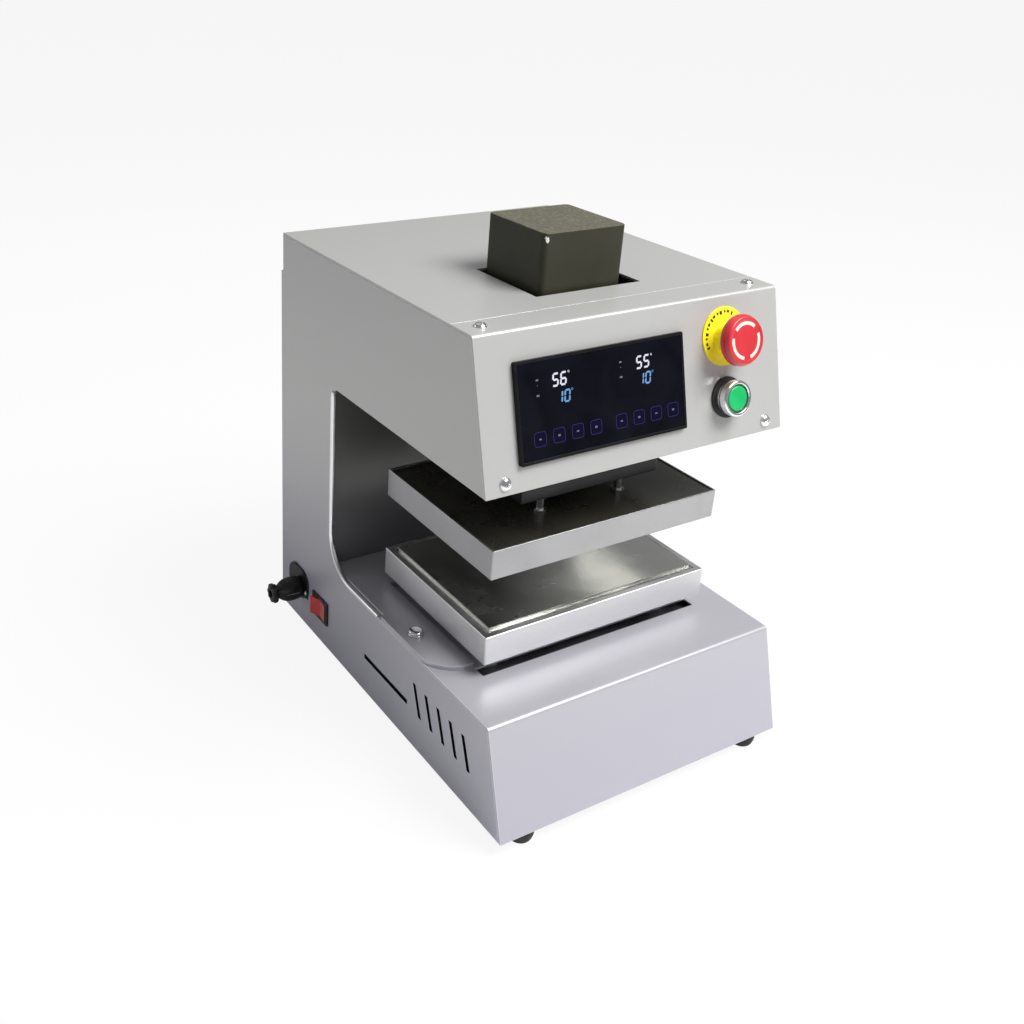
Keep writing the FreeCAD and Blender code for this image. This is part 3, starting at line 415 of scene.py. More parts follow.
def start_material(name, colour, roughness, metallic=0.0, **sockets):
    material = bpy.data.materials.new(name)
    material.use_nodes = True
    shader = material.node_tree.nodes["Principled BSDF"]
    shader.inputs["Base Color"].default_value = (*colour, 1)
    shader.inputs["Roughness"].default_value = roughness
    shader.inputs["Metallic"].default_value = metallic
    for label, value in sockets.items():
        shader.inputs[label.replace("_", " ").title().replace("Ior", "IOR")].default_value = value
    return material, shader


def tint(material, shader, first, second, mask, name="Base Color"):
    """Blend two colours by a mask, into the shader or on from a colour already there."""
    tree = material.node_tree
    mix = node_in(tree, "ShaderNodeMix", (-350, 200), data_type="RGBA")
    tree.links.new(mask, mix.inputs["Factor"])
    if isinstance(first, tuple):
        mix.inputs["A"].default_value = (*first, 1)
    else:
        tree.links.new(first, mix.inputs["A"])
    mix.inputs["B"].default_value = (*second, 1)
    tree.links.new(mix.outputs["Result"], shader.inputs[name])
    return mix.outputs["Result"]


def vary_roughness(material, shader, mask, low, high):
    """Roughness from low to high as a mask goes from 0 to 1."""
    tree = material.node_tree
    tree.links.new(spread(tree, mask, 0, 1, low, high, (-350, -100)), shader.inputs["Roughness"])


def relief(material, shader, height, distance, strength=1.0):
    tree = material.node_tree
    bump = node_in(tree, "ShaderNodeBump", (-350, -350))
    bump.inputs["Strength"].default_value = strength
    bump.inputs["Distance"].default_value = distance
    tree.links.new(height, bump.inputs["Height"])
    tree.links.new(bump.outputs[0], shader.inputs["Normal"])


def shade(colour, factor):
    return tuple(min(1.0, c * factor) for c in colour)


# ---- materials of this press ----


def coated_sheet(name, colour, low_colour, roughness, metallic=0.25):
    """Silver powder coat with metal flakes, cooler towards the base; in paler colours it paints the highlight
    along the folds.
    """
    material, shader = start_material(name, colour, roughness, metallic, coat_weight=0.15,
                                      coat_roughness=0.22)
    tree = material.node_tree
    grain = effect(material, "paint_grain", scale=1400.0)
    smears = effect(material, "handling", scale=2.5)
    dust_and_light_mask = effect(material, "dust", amount=0.05)
    where = node_in(tree, "ShaderNodeTexCoord", (-1200, 400)).outputs["Object"]
    split = node_in(tree, "ShaderNodeSeparateXYZ", (-1000, 400))
    tree.links.new(where, split.inputs[0])
    cool = spread(tree, split.outputs["Z"], 0.06, 0.26, 1.0, 0.0, (-800, 400))
    tone = tint(material, shader, colour, low_colour, cool)
    tone = tint(material, shader, tone, shade(colour, 1.12), maths(
        tree, "MULTIPLY", grain.outputs["Flakes"], 0.05, (-600, 200)))
    tint(material, shader, tone, (0.62, 0.61, 0.60), dust_and_light_mask.outputs["Dust And Top Light"])
    vary_roughness(material, shader, smears.outputs["Smears"], roughness - 0.004, roughness + 0.008)
    relief(material, shader, grain.outputs["Height"], 0.000006, 0.05)
    return material


def ground_metal(name, colour, roughness, across, depth=0.00002, low=0.88, high=1.08):
    """Bare metal with the lines of its grinding or brushing."""
    material, shader = start_material(name, colour, roughness, 1.0)
    lines = effect(material, "brushed_grain", across=across)
    smears = effect(material, "handling", scale=16.0)
    tint(material, shader, shade(colour, low), shade(colour, high), lines.outputs["Streaks"])
    vary_roughness(material, shader, smears.outputs["Smears"], roughness - 0.06, roughness + 0.10)
    relief(material, shader, lines.outputs["Height"], depth, 0.6)
    return material


def moulded(name, colour, roughness, coat=0.0, fine=1200.0, depth=0.00003, gloss=0.5):
    """Moulded plastic with a fine skin and faint handling marks."""
    material, shader = start_material(name, colour, roughness, 0.0, coat_weight=coat,
                                      coat_roughness=0.08)
    shader.inputs["Specular IOR Level"].default_value = gloss
    grain = effect(material, "paint_grain", scale=fine)
    smears = effect(material, "handling", scale=30.0)
    tint(material, shader, shade(colour, 0.88), shade(colour, 1.12), smears.outputs["Smears"])
    vary_roughness(material, shader, smears.outputs["Smears"], max(0.03, roughness - 0.06),
                   roughness + 0.08)
    relief(material, shader, grain.outputs["Height"], depth, 0.5)
    return material


def chipped_paint(name, colour, corner):
    """Dark satin paint on the motor cover, paler on top as painted top light, with a chip."""
    material, shader = start_material(name, colour, 0.46, 0.0)
    shader.inputs["Specular IOR Level"].default_value = 0.28
    tree = material.node_tree
    grain = effect(material, "paint_grain", scale=800.0)
    smears = effect(material, "handling", scale=18.0)
    dust_and_light_mask = effect(material, "dust", amount=0.6)
    where = node_in(tree, "ShaderNodeTexCoord", (-1200, 300)).outputs["Object"]
    squeeze = node_in(tree, "ShaderNodeVectorMath", (-1100, 300), operation="MULTIPLY")
    tree.links.new(where, squeeze.inputs[0])
    squeeze.inputs[1].default_value = (1, 1, 0.6)
    reach = node_in(tree, "ShaderNodeVectorMath", (-1000, 300), operation="DISTANCE")
    tree.links.new(squeeze.outputs[0], reach.inputs[0])
    reach.inputs[1].default_value = (corner.x, corner.y, corner.z * 0.6)
    rough = node_in(tree, "ShaderNodeTexNoise", (-1000, 100))
    rough.inputs["Scale"].default_value = 420
    tree.links.new(where, rough.inputs["Vector"])
    wobble = maths(tree, "MULTIPLY", rough.outputs["Fac"], 0.004, (-800, 100))
    edge = maths(tree, "ADD", reach.outputs["Value"], wobble, (-700, 250))
    chip = spread(tree, edge, 0.0040, 0.0036, at=(-600, 300))
    tone = tint(material, shader, shade(colour, 0.85), shade(colour, 1.25), smears.outputs["Smears"])
    # Faces that look up are painted paler, and paler again through the dust mask: painted top light from the light
    # above.
    facing = node_in(tree, "ShaderNodeSeparateXYZ", (-1000, 600))
    tree.links.new(node_in(tree, "ShaderNodeTexCoord", (-1200, 600)).outputs["Normal"], facing.inputs[0])
    painted_top_light = spread(tree, facing.outputs["Z"], 0.6, 1.0, at=(-800, 600))
    tone = tint(material, shader, tone, (0.105, 0.100, 0.070), painted_top_light)
    tone = tint(material, shader, tone, (0.32, 0.31, 0.22), dust_and_light_mask.outputs["Dust And Top Light"])
    tint(material, shader, tone, (0.80, 0.79, 0.77), chip)
    vary_roughness(material, shader, smears.outputs["Smears"], 0.40, 0.50)
    relief(material, shader, grain.outputs["Height"], 0.00005, 0.6)
    return material


def lit(name, colour, strength):
    material, shader = start_material(name, shade(colour, 0.02), 0.5)
    shader.inputs["Specular IOR Level"].default_value = 0.04
    glow = effect(material, "handling", scale=200.0)
    tint(material, shader, shade(colour, 0.85), colour, glow.outputs["Smears"], "Emission Color")
    shader.inputs["Emission Strength"].default_value = strength
    return material


def display_pane(name):
    """Black glass with faint wipe marks."""
    material, shader = start_material(name, (0.004, 0.004, 0.007), 0.10, 0.0)
    shader.inputs["Specular IOR Level"].default_value = 0.06
    smears = effect(material, "handling", scale=22.0)
    tint(material, shader, (0.003, 0.003, 0.006), (0.006, 0.006, 0.010), smears.outputs["Smears"])
    vary_roughness(material, shader, smears.outputs["Smears"], 0.16, 0.28)
    return material


def make_materials(settings):
    corner_low, corner_high = box("motor_cover")
    corner = Vector((corner_low.x + 0.0028, corner_low.y, corner_high.z - 0.0048))
    silver = tuple(settings.coat_colour)
    base_silver = tuple(settings.base_colour)
    return {
        "sheet": coated_sheet("silver_coat", silver, base_silver, settings.coat_roughness),
        # Paler, glossier copy of the coat for the rounded folds: a painted highlight where light catches them.
        "painted_fold_highlight": coated_sheet("painted_fold_highlight", shade(silver, 1.35), shade(base_silver, 1.4),
                                    settings.coat_roughness - 0.06),
        # Paler paint for the motor cover's rounded folds: a painted highlight where light catches them.
        "motor_cover_fold_highlight": moulded("motor_cover_fold_highlight", (0.085, 0.082, 0.060), 0.42, gloss=0.3),
        # Near-black slot walls: painted shade inside the vent slots.
        "slot_edge": moulded("slot_wall_painted_shade", (0.008, 0.008, 0.010), 0.8, gloss=0.1),
        # Dark coat for the throat's back and the head's underside: painted shade where the head shades them, paler
        # towards the base.
        "painted_shade_sheet": coated_sheet("throat_painted_shade_coat", (0.10, 0.10, 0.093), (0.20, 0.20, 0.225),
                                     settings.coat_roughness),
        # Bright bare metal for the edge roll: a painted highlight along the rounded fold.
        "fold": ground_metal("edge_roll_painted_highlight", (0.86, 0.86, 0.88), 0.30, (400, 400, 400), 0.000004, 0.97, 1.02),
        "dark_sheet": chipped_paint("motor_cover_paint", (0.030, 0.029, 0.017), corner),
        # The two platen casings are one metal in two tones: the upper painted darker, the lower paler, as painted
        # shade and painted light.
        "casing": ground_metal("upper_casing_painted_shade", (0.40, 0.40, 0.41), 0.38, (200, 200, 1800),
                               0.000008, 0.97, 1.02),
        "lower_casing": ground_metal("lower_casing_painted_light", (0.68, 0.68, 0.69), 0.38, (200, 200, 1800),
                                     0.000008, 0.97, 1.02),
        "polished": ground_metal("polished_aluminium", (0.74, 0.74, 0.71), 0.20, (900, 30, 900),
                                 0.000008, 0.96, 1.02),
        "dark_plate": moulded("dark_top_plate", (0.046, 0.044, 0.034), 0.30, 0.1, 900.0, 0.00001, 0.5),
        "black_oxide": ground_metal("black_oxide", (0.035, 0.035, 0.036), 0.35, (60, 1500, 1500)),
        "steel": ground_metal("ground_steel", (0.45, 0.46, 0.47), 0.34, (60, 1600, 1600)),
        "bright": ground_metal("bright_steel", (0.80, 0.80, 0.81), 0.14, (500, 500, 3000), 0.000005),
        "chrome": ground_metal("chrome_rim", (0.92, 0.92, 0.93), 0.17, (300, 300, 300), 0.000002),
        "bronze": ground_metal("turned_bronze", (0.62, 0.42, 0.20), 0.30, (1500, 1500, 100)),
        "rubber": moulded("foot_rubber", (0.018, 0.018, 0.019), 0.75, 0.0, 500.0, 0.00008),
        "board": moulded("insulation_board", (0.72, 0.68, 0.58), 0.9, 0.0, 300.0, 0.00015),
        "pane": display_pane("display_pane"),
        "bezel": moulded("display_bezel", (0.004, 0.004, 0.005), 0.40, gloss=0.2),
        "digit_white": lit("digit_white", (0.86, 0.88, 1.0), 0.95),
        "digit_blue": lit("digit_blue", (0.20, 0.46, 0.86), 0.85),
        "icon": lit("icon_grey", (0.45, 0.48, 0.56), 0.45),
        "key_line": lit("key_line", (0.060, 0.055, 0.30), 0.75),
        "key_fill": lit("key_fill", (0.006, 0.005, 0.026), 0.8),
        "key_sign": lit("key_sign", (0.30, 0.32, 0.60), 0.6),
        # Pale grey strip on the black connector: a painted highlight along its seam.
        "parting": moulded("parting_line", (0.34, 0.34, 0.34), 0.4),
        "green_board": moulded("circuit_board", (0.02, 0.16, 0.06), 0.45, 0.3),
        "yellow": moulded("legend_yellow", (0.93, 0.80, 0.02), 0.42, 0.1),
        "red": moulded("stop_red", (0.60, 0.028, 0.040), 0.34, 0.3),
        "ivory": moulded("arrow_ivory", (0.82, 0.72, 0.64), 0.45),
        "green": moulded("start_green", (0.002, 0.46, 0.12), 0.34, 0.2),
        "dark_green": moulded("start_green_ring", (0.002, 0.10, 0.035), 0.30, 0.3),
        "switch_red": moulded("switch_red", (0.50, 0.010, 0.012), 0.10, 0.6),
        "black": moulded("black_plastic", (0.009, 0.009, 0.009), 0.36, 0.05, gloss=0.4),
        "ink": moulded("legend_ink", (0.02, 0.018, 0.01), 0.5),
        "supply": ground_metal("supply_case", (0.60, 0.61, 0.62), 0.45, (100, 900, 900)),
    }


MATERIALS = {}


def body_of(node):
    for name, members in FRAME["record"]["behaviour"]["bodies"].items():
        if node in members:
            return name
    raise ValueError(f"no body holds {node}")


def dressed(node, look, width, segments=2, angle=30, edge=None):
    fold_highlight_look = MATERIALS[edge] if edge else None
    return dress(node, MATERIALS[look], body_of(node), width, segments, angle, fold_highlight_look)


def turned(node, look, profile, place, segments=96, name=None, stands_for=True, shape=None):
    """A turned piece that stands for a node, or joins it."""
    mesh = lathe(profile, place, segments, shape)
    stands = (node,) if stands_for else ()
    return add_piece(name or node + "_turned", mesh, MATERIALS[look], body_of(node), stands)


def added(name, node, look, mesh, stands_for=False, sharp=35):
    """A detail that rides with a node's body."""
    stands = (node,) if stands_for else ()
    return add_piece(name, mesh, MATERIALS[look], body_of(node), stands, sharp)


# ---- settings a user would change ----


class PressFinish(bpy.types.PropertyGroup):
    coat_colour: FloatVectorProperty(
        name="Coat Colour", description="Silver coat of the covers, at the head",
        default=(0.49, 0.49, 0.483), subtype="COLOR", min=0, max=1)
    base_colour: FloatVectorProperty(
        name="Base Colour", description="Silver coat of the covers, at the base",
        default=(0.44, 0.435, 0.495), subtype="COLOR", min=0, max=1)
    coat_roughness: FloatProperty(
        name="Coat Roughness", description="How matt the silver coat is", default=0.36, min=0, max=1,
        subtype="FACTOR")
    fold_radius: FloatProperty(
        name="Edge Radius", description="Rounding of the cut edges of the covers", default=0.0005,
        unit="LENGTH")


class DisplaySettings(bpy.types.PropertyGroup):
    left_heat: IntProperty(name="Left Heat", description="Upper number on the left", default=56)
    left_time: IntProperty(name="Left Time", description="Lower number on the left", default=10)
    right_heat: IntProperty(name="Right Heat", description="Upper number on the right", default=55)
    right_time: IntProperty(name="Right Time", description="Lower number on the right", default=10)
    digit_height: FloatProperty(
        name="Digit Height", description="Height of the numbers", default=0.0088, unit="LENGTH")


class StudioSettings(bpy.types.PropertyGroup):
    azimuth: FloatProperty(
        name="Azimuth", description="Camera's turn round the press, from the front",
        default=math.radians(-31.42), subtype="ANGLE")
    elevation: FloatProperty(
        name="Elevation", description="Camera's height angle", default=math.radians(23.15), subtype="ANGLE")
    roll: FloatProperty(
        name="Roll", description="Camera's tilt about its own axis", default=math.radians(2.34),
        subtype="ANGLE")
    lens: FloatProperty(
        name="Lens", description="Focal length in millimetres", default=39.8, unit="CAMERA")
    soft_light: FloatProperty(
        name="Soft Light", description="Strength of the light from all round", default=0.26, min=0)
    key_power: FloatProperty(
        name="Key Power", description="Power of the light at the front right", default=76, min=0,
        unit="POWER")
    side_power: FloatProperty(
        name="Side Power", description="Power of the lights at the left and behind", default=2.2, min=0,
        unit="POWER")
    floor_glow: FloatProperty(
        name="Floor Glow", description="How much paler the floor looks than it is", default=0.90, min=0,
        max=1, subtype="FACTOR")
    shift: FloatVectorProperty(
        name="Shift", description="Lens shift across and up", default=(0.1086, -0.1003), size=2)
    place: FloatVectorProperty(
        name="Camera Place", description="Where the camera stands", default=(-0.5785, -0.7264, 0.6638),
        subtype="TRANSLATION", unit="LENGTH")
    backdrop: FloatVectorProperty(
        name="Backdrop", description="Colour round the press", default=(1.0, 1.0, 1.0), subtype="COLOR")


# ---- operators ----


class STAMPER_OT_stage(bpy.types.Operator):
    """Floor, backdrop, lights and camera"""
    bl_idname = "stamper.stage"
    bl_label = "Stage"

    FLOOR_REACH = 30.0
    LIGHTS_AIM = (0, -0.05, 0.2)

    def execute(self, context):
        settings = context.scene.press_studio
        context.scene.view_settings.view_transform = "Standard"
        self.floor(settings)
        self.world(settings)
        self.light("key_light", place=(0.75, -1.05, 2.1), size=1.3, power=settings.key_power,
                   colour=(1.0, 0.995, 0.98))
        self.light("side_light", place=(-1.7, 1.5, 0.9), size=1.0, power=settings.side_power * 2,
                   colour=(0.97, 0.98, 1.0))
        self.light("edge_light", place=(0.5, 1.3, 1.9), size=0.9, power=settings.side_power,
                   colour=(1.0, 1.0, 1.0))
        self.camera(settings)
        return {"FINISHED"}

    def floor(self, settings):
        """A plain floor that the camera sees paler than it is, so that only soft shadows show."""
        mesh = bmesh.new()
        far = self.FLOOR_REACH
        corners = [(-far, -far), (far, -far), (far, far), (-far, far)]
        mesh.faces.new([mesh.verts.new((x, y, 0)) for x, y in corners])
        data = bpy.data.meshes.new("studio_floor")
        mesh.to_mesh(data)
        mesh.free()
        floor = bpy.data.objects.new("studio_floor", data)
        bpy.context.scene.collection.objects.link(floor)
        material, shader = start_material("pale_floor", (0.88, 0.88, 0.88), 0.8)
        shader.inputs["Specular IOR Level"].default_value = 0.0
        tree = material.node_tree
        glow = node_in(tree, "ShaderNodeEmission", (0, -200))
        glow.inputs["Color"].default_value = (*settings.backdrop, 1)
        seen = node_in(tree, "ShaderNodeLightPath", (-300, 200))
        share = maths(tree, "MULTIPLY", seen.outputs["Is Camera Ray"], settings.floor_glow, (-100, 200))
        mix = node_in(tree, "ShaderNodeMixShader", (250, 0))
        tree.links.new(share, mix.inputs[0])
        tree.links.new(shader.outputs[0], mix.inputs[1])
        tree.links.new(glow.outputs[0], mix.inputs[2])
        tree.links.new(mix.outputs[0], tree.nodes["Material Output"].inputs["Surface"])
        data.materials.append(material)

    def world(self, settings):
        """Soft light from all round, and a white backdrop for the camera."""
        world = bpy.data.worlds.new("studio")
        world.use_nodes = True
        tree = world.node_tree
        around = tree.nodes["Background"]
        around.inputs["Color"].default_value = (0.97, 0.98, 1.0, 1)
        around.inputs["Strength"].default_value = settings.soft_light
        backdrop = node_in(tree, "ShaderNodeBackground", (0, -200))
        backdrop.inputs["Color"].default_value = (*settings.backdrop, 1)
        seen = node_in(tree, "ShaderNodeLightPath", (-200, 200))
        mix = node_in(tree, "ShaderNodeMixShader", (200, 0))
        tree.links.new(seen.outputs["Is Camera Ray"], mix.inputs[0])
        tree.links.new(around.outputs[0], mix.inputs[1])
        tree.links.new(backdrop.outputs[0], mix.inputs[2])
        tree.links.new(mix.outputs[0], tree.nodes["World Output"].inputs["Surface"])
        bpy.context.scene.world = world

    def light(self, name, place, size, power, colour):
        data = bpy.data.lights.new(name, "AREA")
        data.size = size
        data.energy = power
        data.color = colour
        lamp = bpy.data.objects.new(name, data)
        lamp.location = place
        aim = Vector(self.LIGHTS_AIM) - Vector(place)
        lamp.rotation_euler = aim.to_track_quat("-Z", "Y").to_euler()
        bpy.context.scene.collection.objects.link(lamp)

    def camera(self, settings):
        data = bpy.data.cameras.new("camera")
        data.lens = settings.lens
        data.sensor_width = 36
        data.shift_x, data.shift_y = settings.shift
        turn, height, roll = settings.azimuth, settings.elevation, settings.roll
        back = Vector((math.sin(turn) * math.cos(height), -math.cos(turn) * math.cos(height),
                       math.sin(height)))
        right = (-back).cross(Vector((0, 0, 1))).normalized()
        up = right.cross(-back)
        rolled_right = right * math.cos(roll) + up * math.sin(roll)
        rolled_up = up * math.cos(roll) - right * math.sin(roll)
        camera = bpy.data.objects.new("camera", data)
        axes = Matrix((rolled_right, rolled_up, back)).transposed().to_4x4()
        camera.matrix_world = Matrix.Translation(settings.place) @ axes
        bpy.context.scene.collection.objects.link(camera)
        bpy.context.scene.camera = camera


class STAMPER_OT_finishes(bpy.types.Operator):
    """Materials, and the finish of every piece that keeps its CAD shape"""
    bl_idname = "stamper.finishes"
    bl_label = "Finishes"

    LOOKS = {
        "painted_metal": "sheet", "brushed_steel": "steel", "chrome": "bright", "brass": "bronze",
        "rubber": "rubber", "ceramic": "board", "aluminium": "polished", "glass": "pane",
        "matte_plastic": "black", "gloss_plastic": "black",
    }
    SLOT_LOOKS = {
        "dark_paint": "black_oxide", "platen_steel": "casing", "dark_plate": "dark_plate",
        "circuit_green": "green_board", "supply_metal": "supply", "legend_yellow": "yellow",
        "stop_red": "red", "start_green": "green", "switch_red": "switch_red",
    }

    def execute(self, context):
        MATERIALS.update(make_materials(context.scene.press_finish))
        classes = {m["slot"]: m["class"] for m in FRAME["record"]["materials"]}
        for part in FRAME["record"]["subparts"]:
            slot = part["material_slot"]
            look = self.SLOT_LOOKS.get(slot) or self.LOOKS[classes[slot]]
            data = FRAME["nodes"][part["node"]].data
            data.materials.clear()
            data.materials.append(MATERIALS[look])
        return {"FINISHED"}


class STAMPER_OT_covers(bpy.types.Operator):
    """Folded sheet covers of the head, the column and the base"""
    bl_idname = "stamper.covers"
    bl_label = "Covers"

    SLOT_AREA = ((-1, -0.160, 0.040), (1, 0.030, 0.085))
    SLOT_EDGE = 2
    ROLL_FRONT = 0.0515
    ROLL_REAR = 0.0925
    ROLL_TOP = 0.285
    ROLL_INSET = 0.9 * MM
    ROLL_RADIUS = 2.1 * MM

    def execute(self, context):
        radius = context.scene.press_finish.fold_radius
        # The rounded folds of these covers take the painted fold highlight.
        for node in ("top_cover", "front_panel", "rear_cover", "base_cover", "base_bottom_plate"):
            dressed(node, "sheet", radius, edge="painted_fold_highlight")
        # The throat's back and the head's underside take the painted shade coat.
        for node in ("head_bottom_cover", "throat_back_panel"):
            dressed(node, "painted_shade_sheet", radius)
        for node in ("left_side_panel", "right_side_panel"):
            self.darken_slots(dressed(node, "sheet", radius, edge="painted_fold_highlight"))
            self.edge_roll(node)
        dressed("bed_plate", "sheet", radius * 1.6, 3, edge="painted_fold_highlight")
        dressed("motor_cover", "dark_sheet", radius, edge="motor_cover_fold_highlight")
        return {"FINISHED"}

    def darken_slots(self, panel):
        """The walls of the vent slots are painted near black: painted shade inside the slots."""
        panel.data.materials.append(MATERIALS["slot_edge"])
        low, high = Vector(self.SLOT_AREA[0]), Vector(self.SLOT_AREA[1])
        for face in panel.data.polygons:
            inside = all(low[i] < face.center[i] < high[i] for i in range(3))
            if inside and abs(face.normal.x) < 0.9:
                face.material_index = self.SLOT_EDGE

    def edge_roll(self, node):
        """The rolled edge that runs down the throat, round its large corner and along the base."""
        low, high = box(node)
        outer = low.x if low.x < 0 else high.x
        inward = -math.copysign(1, outer)
        base_top = box("base_cover")[1].z
        mesh = bmesh.new()
        mesh.from_mesh(FRAME["nodes"][node].data)
        bmesh.ops.remove_doubles(mesh, verts=mesh.verts, dist=1e-6)
        path = []
        for vert in mesh.verts:
            y, z = vert.co.y, vert.co.z
            towards_throat = any(f.normal.y < -0.02 or f.normal.z > 0.98 for f in vert.link_faces)
            along_throat = self.ROLL_FRONT < y < self.ROLL_REAR and z < self.ROLL_TOP
            if abs(vert.co.x - outer) < 1e-5 and towards_throat and along_throat:
                path.append((y, z))
        mesh.free()
        path = sorted(set((round(y, 5), round(z, 5)) for y, z in path), key=lambda p: (-p[1], -p[0]))
        path = [p for p in path if p[1] > base_top - 1e-4]
        foot_y = path[-1][0]
        path += [(foot_y - foot_y * k / 6, base_top) for k in range(1, 7)]
        path = [p for k, p in enumerate(path) if k == 0 or math.dist(p, path[k - 1]) > 1 * MM]
        line = [Vector((outer + inward * self.ROLL_INSET, y, z)) for y, z in path]
        # The roll's bright metal paints the highlight along the fold.
        added(node + "_edge_roll", node, "fold", self.tube(line, self.ROLL_RADIUS))

    def tube(self, path, radius, around=12):
        """A round rod along a path that stays in one upright plane."""
        mesh = bmesh.new()
        rows = []
        for number, point in enumerate(path):
            before, after = path[max(0, number - 1)], path[min(len(path) - 1, number + 1)]
            along = (after - before).normalized()
            side = Vector((1, 0, 0))
            up = along.cross(side)
            rows.append([mesh.verts.new(point + side * radius * math.cos(2 * math.pi * k / around)
                                        + up * radius * math.sin(2 * math.pi * k / around))
                         for k in range(around)])
        for near, far in zip(rows, rows[1:]):
            for k in range(around):
                following = (k + 1) % around
                mesh.faces.new((near[k], near[following], far[following], far[k]))
        mesh.faces.new(rows[0])
        mesh.faces.new(list(reversed(rows[-1])))
        return mesh


class STAMPER_OT_platens(bpy.types.Operator):
    """Casings and plates of the two heated platens"""
    bl_idname = "stamper.platens"
    bl_label = "Platens"

    def execute(self, context):
        # Same casing metal: the upper darker by painted shade, the lower paler by painted light.
        dressed("upper_platen_casing", "casing", 1.1 * MM, 4)
        dressed("lower_platen_casing", "lower_casing", 1.1 * MM, 4)
        dressed("upper_platen_top_plate", "dark_plate", 0.3 * MM)
        dressed("upper_heating_plate", "polished", 0.5 * MM)
        dressed("lower_heating_plate", "polished", 0.45 * MM)
        return {"FINISHED"}


class STAMPER_OT_ram(bpy.types.Operator):
    """Ram plate, studs, tube and guide rods"""
    bl_idname = "stamper.ram"
    bl_label = "Ram"

    def execute(self, context):
        dressed("ram_plate", "black_oxide", 0.8 * MM)
        self.rods("guide_rods", "bright", 1.0 * MM)
        self.rods("ram_tube", "bright", 0.6 * MM)
        self.studs()
        return {"FINISHED"}

    def rods(self, node, look, chamfer):
        parts = []
        for low, high in islands(node):
            radius, length = (high.x - low.x) / 2, high.z - low.z
            profile = rounded([(0, 0), (radius, 0), (radius, length), (0, length)], chamfer)
            centre = Matrix.Translation(((low.x + high.x) / 2, (low.y + high.y) / 2, low.z))
            parts.append(lathe(profile, centre))
        added(node + "_turned", node, look, joined(parts), True)

    def studs(self):
        """Each stud: a round foot and a turned shank."""
        parts = []
        for low, high in islands("platen_studs"):
            foot, length = (high.x - low.x) / 2, high.z - low.z
            centre = Matrix.Translation(((low.x + high.x) / 2, (low.y + high.y) / 2, low.z))
            shank = foot * 0.64
            outline = [(0, 0), (foot, 0), (foot, 1.6 * MM), (shank, 1.6 * MM), (shank, length), (0, length)]
            parts.append(lathe(rounded(outline, 0.3 * MM), centre, 64))
        added("platen_studs_turned", "platen_studs", "bright", joined(parts), True)


